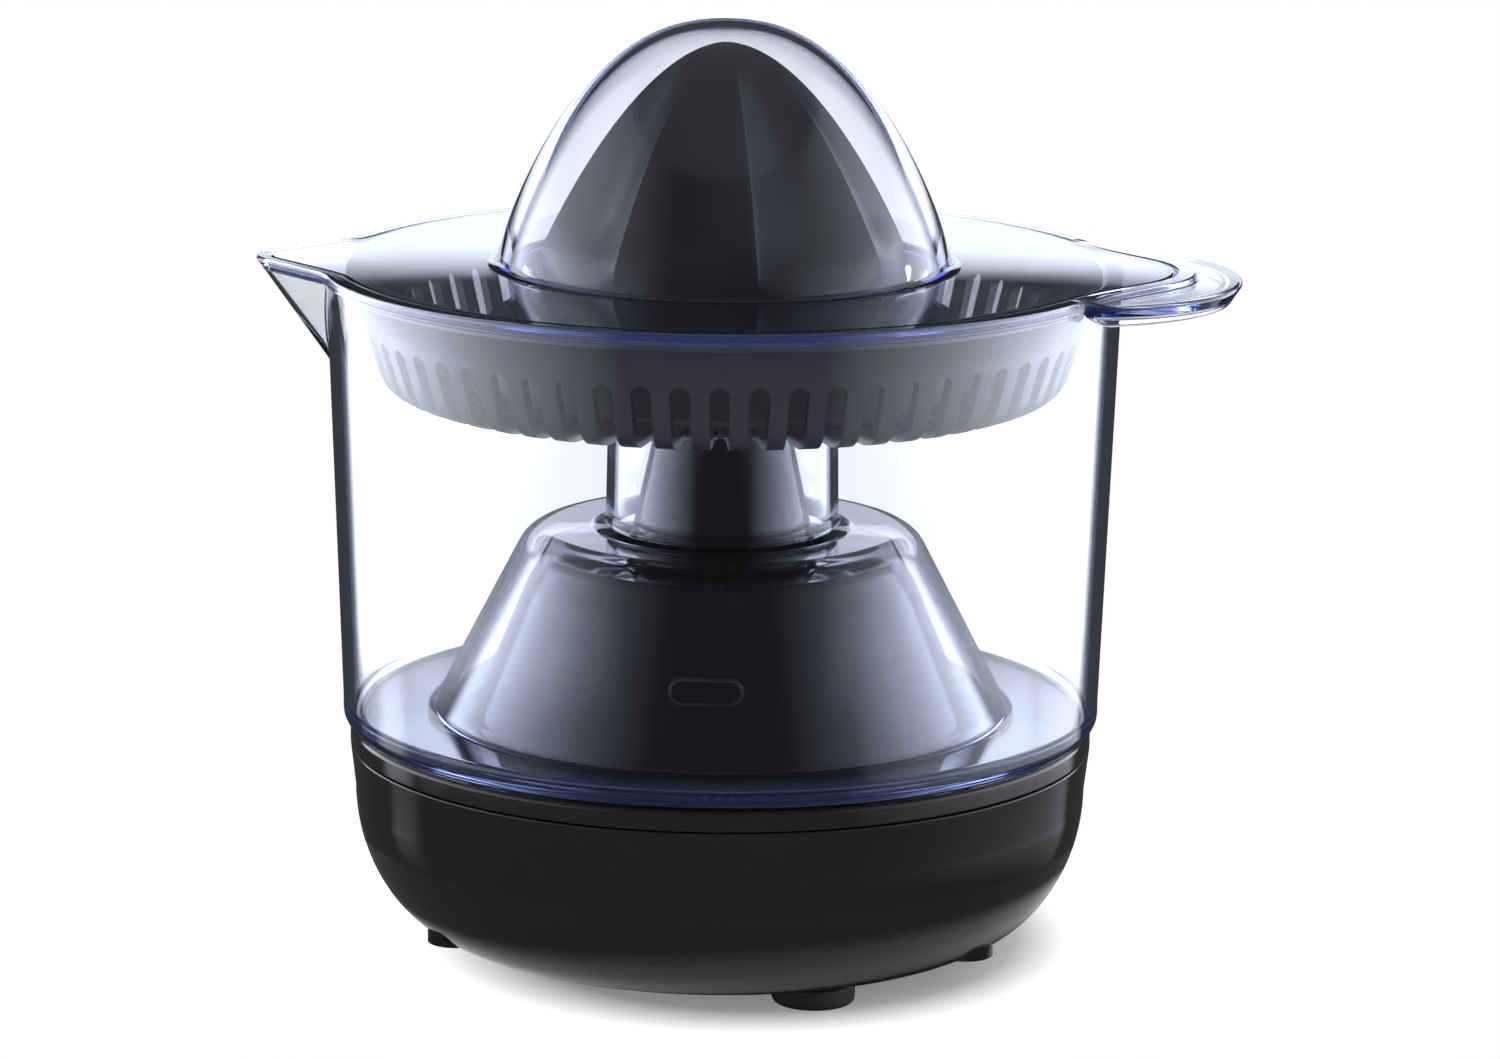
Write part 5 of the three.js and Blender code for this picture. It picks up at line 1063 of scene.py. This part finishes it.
class PRESS_OT_jug(bpy.types.Operator):
    """Clear jug: wall, spout, ear handle, inner cone and chimney as one profile for each direction"""

    bl_idname = "press.jug"
    bl_label = "Jug"

    def execute(self, context):
        jug, cover, parts = context.scene.press_jug, context.scene.press_cover, context.scene.press_round
        turn = around_lobes(parts.columns)
        bottom, top = JUG_LOW.z, JUG_HIGH.z
        floor = bottom + 2.2 * MM
        seat = COVER_LOW.z - 0.3 * MM
        lid = cover_outline(turn, cover)
        pocket = lid + 0.4 * MM
        spout_tip = cover.spout_tip + 0.6 * MM + jug.spout_wall
        spout_nose = 8.2 * MM
        spout_root, channel_root = 69.3 * MM, 67.1 * MM

        def spout(tip, nose):
            """The spout's outline alone, from its reach and the rounding of its tip."""
            return wedge(from_spout(turn), tip, nose, cover.half_angle)

        handle = ear(turn, jug.handle_centre, jug.handle_radius)
        rim = soft_max(soft_max(jug.rim_radius, spout(spout_tip, spout_nose), 1.5 / MM), handle, 0.9 / MM)
        part = smooth_step((handle - jug.rim_radius + 0.5 * MM) / (6 * MM))
        under = blend(top - jug.rim_band, seat - 0.9 * MM, part)

        def wall(height):
            """Outside of the wall without its spout: straight from 46 mm up, over a rise of 74 mm."""
            return blend(jug.foot_radius, jug.neck_radius, (height - 46 * MM) / (74 * MM))

        def outside(height):
            """Plain wall, widened by the spout, whose tip runs down in a straight line to the wall."""
            share = (height - jug.spout_apex) / (top - jug.spout_apex)
            nose = blend(1.0 * MM, spout_nose, np.clip(share, 0, 1))
            return soft_max(wall(height), spout(blend(spout_root, spout_tip, share), nose), 4 / MM)

        def inside(height):
            """Inner wall with the spout's channel, never wider than the cover's recess."""
            apex = jug.spout_apex + 1.1 * MM
            share = (height - apex) / (seat - apex)
            nose = blend(0.6 * MM, cover.tip_radius, np.clip(share, 0, 1))
            channel = spout(blend(channel_root, cover.spout_tip + 0.35 * MM, share), nose)
            return np.minimum(soft_max(wall(height) - jug.wall, channel, 4 / MM), pocket - 0.05 * MM)

        rise = np.concatenate([np.linspace(46.5, 101, 12), np.linspace(102, 120.6, 24)]) * MM
        fall = np.concatenate([np.linspace(121.4, 102, 24), np.linspace(101, 48.5, 12)]) * MM
        lip = outside(top - jug.rim_band)
        band = np.maximum(lip, blend(jug.rim_radius, handle, part))
        skirt_in = blend(lip + 0.3 * MM, handle - 2.0 * MM - 0.4 * jug.handle_lean, part)
        skirt_low = blend(band - 0.1 * MM, handle - jug.handle_lean, part)
        low = blend(top - jug.rim_band, top - jug.handle_skirt, part)
        plate = blend(top, top - jug.handle_step, part)
        ridge = np.minimum(blend(pocket + 0.7 * MM, pocket + jug.handle_ridge, part), rim - 0.3 * MM)
        fold = blend(under + 0.02 * MM, low, part)
        chain = [
            ((jug.cone_foot + 0.8 * MM, bottom), 0.4),
            ((jug.foot_radius, bottom), 3.2),
            *[((outside(z), z), 0) for z in rise],
            ((outside(under), under), 0.25),
            ((blend(lip + 0.2 * MM, skirt_in, part), under), 0.6),
            ((blend(lip + 0.25 * MM, skirt_low - 1.6 * MM, part), fold), 0.5),
            ((blend(band, skirt_low, part), fold), 0.5),
            ((blend(rim, np.maximum(handle, rim), part), plate), 0.6),
            ((ridge + 0.05 * MM, plate), 0.3),
            ((ridge, top), 0.4),
            ((pocket, top), 0.35),
            ((pocket, seat), 0.15),
            ((inside(seat), seat), 0.15),
            *[((inside(z), z), 0) for z in fall],
            ((jug.foot_radius - jug.wall, floor), 2.4),
            ((jug.cone_foot + 0.1 * MM, floor), 1.6),
            ((jug.cone_shoulder, jug.cone_top), 6),
            ((jug.chimney_radius + 0.2 * MM, jug.cone_top), 2.8),
            ((jug.chimney_radius - 0.4 * MM, jug.chimney_top), 0.6),
            ((jug.chimney_radius - 2.1 * MM, jug.chimney_top), 0.6),
            ((jug.chimney_radius - 1.6 * MM, jug.cone_top - 0.4 * MM), 1.5),
            ((jug.cone_shoulder - 1.2 * MM, jug.cone_top - 1.9 * MM), 5),
            ((jug.cone_foot - 1.1 * MM, bottom), 0.4),
        ]
        points = corners(parts.columns, *[place for place, _ in chain])
        profile = rounded(points, [fillet * MM for _, fillet in chain], parts.fillet_steps)
        grid = swing(profile, turn)
        piece = make_object("jug_clear_shell", grid, quads(grid, True, True))
        settle(piece, "jug", "Clear plastic", "jug", sharp=50)
        return {"FINISHED"}


class PRESS_OT_strainer(bpy.types.Operator):
    """Strainer: one profile round the axis, with a round-ended slot cut in each of sixty sectors"""

    bl_idname = "press.strainer"
    bl_label = "Strainer"

    def execute(self, context):
        s = context.scene.press_strainer
        top, floor = STRAINER_HIGH.z, STRAINER_LOW.z
        rim = (STRAINER_HIGH.y - STRAINER_LOW.y) / 2
        plate_top = REAMER_LOW.z - 0.3 * MM
        plate_low = plate_top - s.wall
        collar, collar_low = (23.0 * MM, 21.2 * MM), plate_low - 7 * MM
        bend = [(s.slot_top_radius, s.slot_top, 0), (s.floor_corner, floor, 5.5), (s.slot_inner, floor, 0)]
        outer = self.resampled(filleted(bend, 14, closed=False)[0], 34)
        inner = outer + self.normals(outer) * s.wall
        neck = rim - 1.8 * MM
        before = np.array([(rim, top - 1.5 * MM), (neck + 0.3 * MM, top - 1.5 * MM), (neck, top - 1.8 * MM)])
        points = [
            (s.slot_inner, floor, 0),
            (s.hub_foot - s.wall, floor, 0.4),
            (s.hub_radius - s.wall, plate_low, 0.8),
            (collar[0], plate_low, 0),
            (collar[0], collar_low, 0.3),
            (collar[1], collar_low, 0.3),
            (collar[1], plate_low, 0),
            (s.hub_hole, plate_low, 0.3),
            (s.hub_hole, plate_top, 0.4),
            (s.hub_radius, plate_top, 0.9),
            (s.hub_foot, floor + s.wall, 1.4),
            (s.slot_inner, floor + s.wall, 0),
        ]
        hub = filleted(points, 4, closed=False)[0, 1:-1]
        after = np.array(
            [
                (neck - s.wall, top - 0.5 * MM),
                (neck - s.wall + 0.3 * MM, top - 0.1 * MM),
                (neck - s.wall + 0.7 * MM, top),
                (rim - 0.5 * MM, top),
                (rim - 0.1 * MM, top - 0.1 * MM),
                (rim, top - 0.5 * MM),
            ]
        )
        profile = np.concatenate([before, outer, hub, inner[::-1], after])
        width = self.slot_width(outer, s)
        widths = np.zeros(len(profile))
        first_outer = len(before)
        last_inner = first_outer + 2 * len(outer) + len(hub) - 1
        widths[first_outer : first_outer + len(outer)] = width
        widths[last_inner - len(outer) + 1 : last_inner + 1] = width[::-1]
        pitch = 2 * np.pi / s.slots
        share = np.array([0.0, 0.3, 1.0])
        half = widths[:, None] + share * (pitch / 2 - widths[:, None])
        count = 3 * len(profile)
        first = 3 * (first_outer + np.arange(len(outer) - 1))
        last = 3 * (last_inner - np.arange(len(outer) - 1))
        walls = np.stack([last, last - 3, first + 3, first], -1)
        sectors = []
        cells = []
        for side in (-1, 1):
            away = side * half
            radius, height = profile[:, :1], profile[:, 1:] + 0 * away
            local = np.stack([radius * np.cos(away), radius * np.sin(away), height], -1)
            both = np.concatenate([quads(local, True, False), walls])
            cells.append(both + count if side > 0 else both[:, ::-1])
            sectors.append(local.reshape(-1, 3))
        (across, forwards, height), faces = np.concatenate(sectors).T, np.concatenate(cells)
        turn = (np.arange(s.slots) + 0.5) * pitch - np.pi / 2
        cos, sin = np.cos(turn)[:, None], np.sin(turn)[:, None]
        points = np.stack(
            [
                AXIS[0] + across * cos - forwards * sin,
                AXIS[1] + across * sin + forwards * cos,
                height + 0 * cos,
            ],
            -1,
        )
        every = (faces[None] + np.arange(s.slots)[:, None, None] * 2 * count).reshape(-1, 4)
        piece = make_object("strainer_basket", points, every, merge=2e-6)
        settle(piece, "strainer", "Satin grey plastic", "strainer", sharp=38)
        return {"FINISHED"}

    def resampled(self, path, count):
        """Points along a line, closer together at both ends: the share of its length is (1 − cos)/2."""
        run = np.concatenate([[0], np.cumsum(np.linalg.norm(np.diff(path, axis=0), axis=1))])
        want = run[-1] * (1 - np.cos(np.linspace(0, np.pi, count))) / 2
        return np.stack([np.interp(want, run, path[:, 0]), np.interp(want, run, path[:, 1])], -1)

    def normals(self, line):
        """Unit normals of a line, to the side on which the strainer is hollow."""
        way = np.gradient(line, axis=0)
        way /= np.linalg.norm(way, axis=1, keepdims=True)
        return np.stack([way[:, 1], -way[:, 0]], -1)

    def slot_width(self, line, s):
        """Half width of the slot as an angle: what a bar leaves of the pitch, round at both ends."""
        run = np.concatenate([[0], np.cumsum(np.linalg.norm(np.diff(line, axis=0), axis=1))])
        half = line[:, 0] * np.pi / s.slots - s.bar / 2
        first, last = half[0], half[-1]
        from_top = np.clip(run / first, 0, 1)
        from_end = np.clip((run[-1] - run) / last, 0, 1)
        round_top = np.sqrt(1 - (1 - from_top) ** 2)
        round_end = np.sqrt(1 - (1 - from_end) ** 2)
        return half * round_top * round_end / line[:, 0]


class PRESS_OT_reamer(bpy.types.Operator):
    """Reamer: eight sharp ridges on a closing cone, a plain skirt and a flange on the strainer's hub"""

    bl_idname = "press.reamer"
    bl_label = "Reamer"

    def execute(self, context):
        reamer, parts = context.scene.press_reamer, context.scene.press_round
        turn = around(parts.columns) + reamer.turn
        low, high = REAMER_LOW.z, REAMER_HIGH.z
        flange = (REAMER_HIGH.y - REAMER_LOW.y) / 2 - 0.1 * MM
        lip = low + reamer.flange
        fillet = 4.6 * MM
        share = 1 - (1 - np.linspace(0, 1, 44)) ** 1.6
        ridge = reamer.radius * (1 - share**1.04) ** 0.56
        heights = blend(reamer.skirt_top, high, share)
        fluted = self.fluted(turn, ridge[None], heights[None], reamer, lip + fillet)
        skirt = np.linspace(lip + fillet, reamer.skirt_top, 8)[:-1]
        plain = self.fluted(turn, np.full((1, 7), reamer.radius), skirt[None], reamer, lip + fillet)
        arc = np.linspace(0, np.pi / 2, 8)[1:-1]
        bell = np.stack([reamer.radius + fillet * (1 - np.cos(arc)), lip + fillet * (1 - np.sin(arc))], -1)
        inner_share = np.linspace(0.02, 0.74, 14)
        inner = reamer.radius * (1 - inner_share**1.04) ** 0.56 * (1 - reamer.flute) - reamer.wall
        inner_height = blend(reamer.skirt_top, high, inner_share)
        ceiling = inner_height[-1]
        tip_side = np.pi / 3
        across = np.mod(turn, tip_side) - tip_side / 2
        hexagon = reamer.hex_radius * np.cos(np.pi / 6) / np.cos(across)
        rows = parts.columns
        bore = reamer.radius - reamer.wall
        foot = [(bore, lip), (bore, low), (flange, low), (flange, lip)]
        socket = [
            (0, ceiling + 3 * MM),
            (hexagon * 0.98, ceiling + 2.6 * MM),
            (hexagon, low + 1 * MM),
            (hexagon + 0.5 * MM, low + 0.3 * MM),
            (reamer.socket, low + 0.3 * MM),
            (reamer.socket + 0.2 * MM, ceiling),
        ]
        inside = corners(rows, *socket, *zip(inner[::-1], inner_height[::-1]), *foot[:2])
        edge = corners(rows, *foot[1:], (reamer.radius + fillet, lip))
        edge = rounded(edge, [0, 0.4 * MM, 0.5 * MM, 0], 4, closed=False)[:, 1:]
        bell_rows = np.broadcast_to(bell[::-1], (rows, len(bell), 2))
        profile = np.concatenate([inside, edge, bell_rows, plain, fluted], 1)
        grid = swing(profile, turn)
        piece = make_object("reamer_cone", grid, quads(grid, True, False))
        settle(piece, "reamer", "Satin charcoal plastic", "reamer", sharp=24)
        return {"FINISHED"}

    def fluted(self, turn, radius, height, reamer, start):
        """Ridge radius pressed in between the ridges: r·(1 − depth·rise·|sin(n·a/2)|^0.8)."""
        rise = smooth_step((height - start) / (14 * MM))
        across = np.abs(np.sin(reamer.ridges / 2 * (turn - reamer.turn)))
        pressed = radius * (1 - reamer.flute * rise * across**0.8)
        return np.stack([pressed, np.broadcast_to(height, pressed.shape)], -1)


class PRESS_OT_cover(bpy.types.Operator):
    """Dust cover: a domed crown on a flat brim, which has a lobe over the spout and one over the handle"""

    bl_idname = "press.cover"
    bl_label = "Dust cover"

    def execute(self, context):
        cover, parts = context.scene.press_cover, context.scene.press_round
        turn = around_lobes(parts.columns)
        low, top = COVER_LOW.z, COVER_HIGH.z
        brim = low + cover.wall
        edge = cover_outline(turn, cover)
        outside = self.crown(cover.dome_radius, brim, top, 40)
        inside = self.crown(cover.dome_radius - cover.wall, low, top - cover.wall, 40)
        rows = parts.columns
        above, below = (cover.dome_radius + 0.35 * MM, brim), (cover.dome_radius - cover.wall, low)
        corner = corners(rows, outside[3], above, (edge, brim), (edge, low), below, inside[3])
        fillets = [fillet * MM for fillet in (0, 1.6, 0.5, 0.5, 0.6, 0)]
        flat = rounded(corner, fillets, parts.fillet_steps, closed=False)
        upper = np.broadcast_to(outside[:3:-1], (rows, len(outside) - 4, 2))
        lower = np.broadcast_to(inside[4:], (rows, len(inside) - 4, 2))
        profile = np.concatenate([upper, flat, lower], 1)
        grid = swing(profile, turn)
        piece = make_object("dust_cover_shell", grid, quads(grid, True, False))
        settle(piece, "lid", "Clear plastic", "lid", sharp=50)
        return {"FINISHED"}

    def crown(self, radius, low, top, count):
        """Side of the dome from the brim to the axis: r·(1 − s^1.2)^0.43 at the share s of its height."""
        share = 1 - (1 - np.linspace(0, 1, count)) ** 2
        return np.stack([radius * (1 - share**1.2) ** 0.43, blend(low, top, share)], -1)


class PRESS_OT_stage(bpy.types.Operator):
    """Pale floor, soft studio light and the camera"""

    bl_idname = "press.stage"
    bl_label = "Stage"

    def execute(self, context):
        studio = context.scene.press_studio
        self.floor(studio)
        self.world(context, studio)
        self.screens(studio)
        self.camera(context, studio)
        context.scene.view_settings.view_transform = "Standard"
        return {"FINISHED"}

    def floor(self, studio):
        """Round pale floor: a matt colour that also glows a little, so that it reads as white.

        The glow is a ramp over the distance from a point behind the axis, an oval round the press: weak
        inside it, a painted shadow on top of the cast one. For gloss the floor's colour drops to 0.12 of
        itself, a painted darkening of its reflections, and a ring of painted reflection lights the base's
        bottom edge.
        """
        level = cad_bounds[0][2] - 0.02 * MM
        ends = [[0, level], [studio.floor_radius, level]]
        _, n, surface = self.round_surface("studio_floor", ends, "Pale floor")
        path = n.add("ShaderNodeLightPath")
        gloss = n.math("GREATER_THAN", path.outputs["Glossy Depth"], 0.5)
        matt_light = n.math("GREATER_THAN", path.outputs["Diffuse Depth"], 0.5)
        direct = n.math("MAXIMUM", path.outputs["Is Camera Ray"], path.outputs["Is Transmission Ray"])
        direct = n.math("MULTIPLY", direct, n.math("SUBTRACT", 1.0, n.math("MAXIMUM", gloss, matt_light)))
        place = n.add("ShaderNodeTexCoord").outputs["Object"]
        behind = studio.shadow_depth * (AXIS[1] + studio.shadow_back)
        middle = (AXIS[0] + studio.shadow_side, behind, cad_bounds[0][2])
        distance = n.vector("DISTANCE", n.vector("MULTIPLY", place, (1, studio.shadow_depth, 1)), middle)
        away = n.math("DIVIDE", distance, studio.floor_radius)
        # Painted shadow: inside the oval the floor's glow stays at 0.2, which sets the shadow's shape.
        glow = n.ramp(away, (0.0, 0.2), (0.5, 0.2), (0.68, studio.floor_glow), (1.0, 1.0))
        # Painted reflection: a ring of floor that glows only for gloss, a light line on the base's bottom
        # edge.
        painted_reflection_ring = n.ramp(away, (0.5, 0.0), (0.6, 0.6), (0.68, 0.6), (0.76, 0.03), (1.0, 0.03))
        painted_reflection_ring = n.math("MULTIPLY", path.outputs["Is Glossy Ray"], painted_reflection_ring)
        shine = n.math("ADD", n.math("MULTIPLY", direct, glow), painted_reflection_ring)
        # Painted shade in reflections: gloss sees the floor at 0.12 of its colour.
        tone = n.mix(gloss, (*studio.floor, 1), (*(0.12 * part for part in studio.floor), 1))
        matt = n.add("ShaderNodeBsdfDiffuse", Color=tone)
        light = n.add("ShaderNodeEmission", Strength=shine)
        both = n.add("ShaderNodeAddShader")
        n.link(matt.outputs[0], both.inputs[0])
        n.link(light.outputs[0], both.inputs[1])
        n.link(both.outputs[0], surface)

    def round_surface(self, name, profile, finish):
        """Round stage piece with a bare material; gives the material, its nodes' helper and its end."""
        grid = swing(np.array(profile), around(96))
        mesh = bpy.data.meshes.new(name)
        mesh.from_pydata(grid.reshape(-1, 3).tolist(), [], quads(grid, True, False).tolist())
        placed(name, mesh)
        material, n = new_material(finish)
        mesh.materials.append(material)
        n.tree.nodes.remove(n.tree.nodes["Principled BSDF"])
        return material, n, n.tree.nodes["Material Output"].inputs["Surface"]

    def world(self, context, studio):
        """White behind the press, an even light for matt colours, and a dim room for its gloss."""
        world = bpy.data.worlds.new("Studio")
        context.scene.world = world
        world.use_nodes = True
        world.cycles.sampling_method = "NONE"
        n = Nodes(world.node_tree)
        path = n.add("ShaderNodeLightPath")
        matt = n.math("GREATER_THAN", path.outputs["Diffuse Depth"], 0.5)
        glossy = n.math("GREATER_THAN", path.outputs["Glossy Depth"], 0.5)
        upwards = n.add("ShaderNodeSeparateXYZ", Vector=n.add("ShaderNodeTexCoord").outputs["Generated"])
        ceiling = tuple(part * studio.ceiling for part in studio.box_colour)
        room = (0.0, studio.room), (0.5, studio.room)
        above = n.ramp(upwards.outputs["Z"], *room, (0.8, ceiling), (1.0, ceiling))
        through = n.math("MULTIPLY", path.outputs["Is Transmission Ray"], studio.behind_clear)
        shown = n.math("ADD", 1.0, through)
        lit = n.mix(matt, n.mix(glossy, shown, above), (studio.light, studio.light, studio.light, 1))
        n.link(lit, world.node_tree.nodes["Background"].inputs["Color"])

    def screens(self, studio):
        """Round screen that only gloss shows: a white panel behind the press and a soft box at each side.

        Its brightness is a ramp over the direction round the axis, as a share of a turn measured from
        behind the press, times a ramp over the height, as a share of the screen's 650 mm. Low down, the
        left box is narrowed to a strip. Every ray that has met no gloss yet goes through the screen.
        """
        bottom, top = -150 * MM, 500 * MM
        ends = [[studio.screen_radius, bottom], [studio.screen_radius, top]]
        material, n, surface = self.round_surface("studio_screen", ends, "Studio screen")
        material.cycles.emission_sampling = "NONE"
        centred = n.vector("SUBTRACT", n.add("ShaderNodeTexCoord").outputs["Object"], (*AXIS, 0))
        swung = n.add("ShaderNodeVectorRotate", rotation_type="Z_AXIS", Vector=centred, Angle=-studio.azimuth)
        split = n.add("ShaderNodeSeparateXYZ", Vector=swung.outputs[0])
        side = n.math("ARCTAN2", split.outputs["X"], n.math("MULTIPLY", split.outputs["Y"], -1.0))
        share = n.math("ADD", n.math("DIVIDE", side, 2 * np.pi), 0.5)
        height = n.math("DIVIDE", n.math("ADD", split.outputs["Z"], -bottom), top - bottom)
        left = ((0.0, 0.0), (0.13, 0.0), (0.145, 1.0), (0.26, 1.0), (0.33, 0.5), (0.375, 0.25), (0.43, 0.0))
        right = ((0.57, 0.0), (0.625, 0.25), (0.67, 0.5), (0.74, 1.0), (0.855, 1.0), (0.87, 0.0), (1.0, 0.0))
        boxes = n.ramp(share, *left, *right)
        lower = ((0.0, 0.0), (0.1, 0.1), (0.16, 0.28), (0.2, 1.0))
        level = n.ramp(height, *lower, (0.38, 1.0), (0.51, 0.6), (0.62, 0.3), (1.0, 0.12))
        narrow = ((0.0, 0.0), (0.17, 0.0), (0.185, 1.0), (0.21, 1.0), (0.225, 0.0))
        strip = n.ramp(share, *narrow, (0.6, 0.0), (0.62, 1.0))
        low = n.ramp(height, (0.165, 1.0), (0.19, 0.0))
        held = n.math("SUBTRACT", 1.0, n.math("MULTIPLY", low, n.math("SUBTRACT", 1.0, strip)))
        boxes = n.math("MULTIPLY", n.math("MULTIPLY", boxes, level), n.math("MULTIPLY", held, studio.box))
        behind = n.ramp(share, (0.0, 1.0), (0.11, 1.0), (0.125, 0.0), (0.875, 0.0), (0.89, 1.0), (1.0, 1.0))
        panel = n.ramp(height, (0.41, 0.0), (0.44, studio.panel), (0.509, studio.panel), (0.518, 0.0))
        bright = n.math("MAXIMUM", n.math("MULTIPLY", behind, panel), boxes)
        bright = n.math("MAXIMUM", bright, studio.room)
        path = n.add("ShaderNodeLightPath")
        glossy = n.math("GREATER_THAN", path.outputs["Glossy Depth"], 0.5)
        glossy = n.math("MULTIPLY", glossy, n.math("LESS_THAN", path.outputs["Diffuse Depth"], 0.5))
        light = n.add("ShaderNodeEmission", Color=(*studio.box_colour, 1), Strength=bright)
        both = n.add("ShaderNodeMixShader", Fac=glossy)
        n.link(n.add("ShaderNodeBsdfTransparent").outputs[0], both.inputs[1])
        n.link(light.outputs[0], both.inputs[2])
        n.link(both.outputs[0], surface)

    def camera(self, context, studio):
        """Camera on a sphere about the target, with its view turned a little about itself."""
        azimuth, elevation, roll = studio.azimuth, studio.elevation, studio.roll
        level = np.cos(elevation)
        back = Vector((np.sin(azimuth) * level, -np.cos(azimuth) * level, np.sin(elevation)))
        right = Vector((np.cos(azimuth), np.sin(azimuth), 0))
        up = back.cross(right)
        across = right * np.cos(roll) + up * np.sin(roll)
        upright = up * np.cos(roll) - right * np.sin(roll)
        turn = Matrix((across, upright, back)).transposed().to_4x4()
        data = bpy.data.cameras.new("Studio camera")
        data.lens = studio.lens
        data.shift_x, data.shift_y = studio.shift_x, studio.shift_y
        data.clip_start, data.clip_end = 0.02, 60
        camera = placed("Studio camera", data)
        target = Vector((*AXIS, studio.target))
        camera.matrix_world = Matrix.Translation(target + back * studio.distance) @ turn
        context.scene.camera = camera


OPERATORS = (
    PRESS_OT_finishes,
    PRESS_OT_lower_shell,
    PRESS_OT_upper_shell,
    PRESS_OT_feet,
    PRESS_OT_inlet,
    PRESS_OT_shaft,
    PRESS_OT_spring,
    PRESS_OT_jug,
    PRESS_OT_strainer,
    PRESS_OT_reamer,
    PRESS_OT_cover,
    PRESS_OT_stage,
)


class PRESS_PT_sidebar(bpy.types.Panel):
    """Steps of the press in order, and the sizes and colours behind them"""

    bl_idname = "PRESS_PT_sidebar"
    bl_label = "Citrus press"
    bl_space_type = "VIEW_3D"
    bl_region_type = "UI"
    bl_category = "Citrus press"

    def draw(self, context):
        steps = self.layout.column(align=True)
        for operator in OPERATORS:
            steps.operator(operator.bl_idname)
        for name, kind in GROUPS.items():
            settings = self.layout.box().column(align=True)
            settings.label(text=kind.__doc__)
            for entry in kind.__annotations__:
                settings.prop(getattr(context.scene, name), entry)


def register():
    """Adds the classes and their settings to Blender."""
    for kind in (*GROUPS.values(), *OPERATORS, PRESS_PT_sidebar):
        bpy.utils.register_class(kind)
    for name, kind in GROUPS.items():
        setattr(bpy.types.Scene, name, PointerProperty(type=kind))


def unregister():
    """Takes them out again."""
    for name in GROUPS:
        delattr(bpy.types.Scene, name)
    for kind in reversed((*GROUPS.values(), *OPERATORS, PRESS_PT_sidebar)):
        bpy.utils.unregister_class(kind)


def main():
    """Makes the whole press."""
    register()
    bpy.ops.press.finishes()
    bpy.ops.press.lower_shell()
    bpy.ops.press.upper_shell()
    bpy.ops.press.feet()
    bpy.ops.press.inlet()
    bpy.ops.press.shaft()
    bpy.ops.press.spring()
    bpy.ops.press.jug()
    bpy.ops.press.strainer()
    bpy.ops.press.reamer()
    bpy.ops.press.cover()
    bpy.ops.press.stage()


if __name__ == "__main__":
    main()
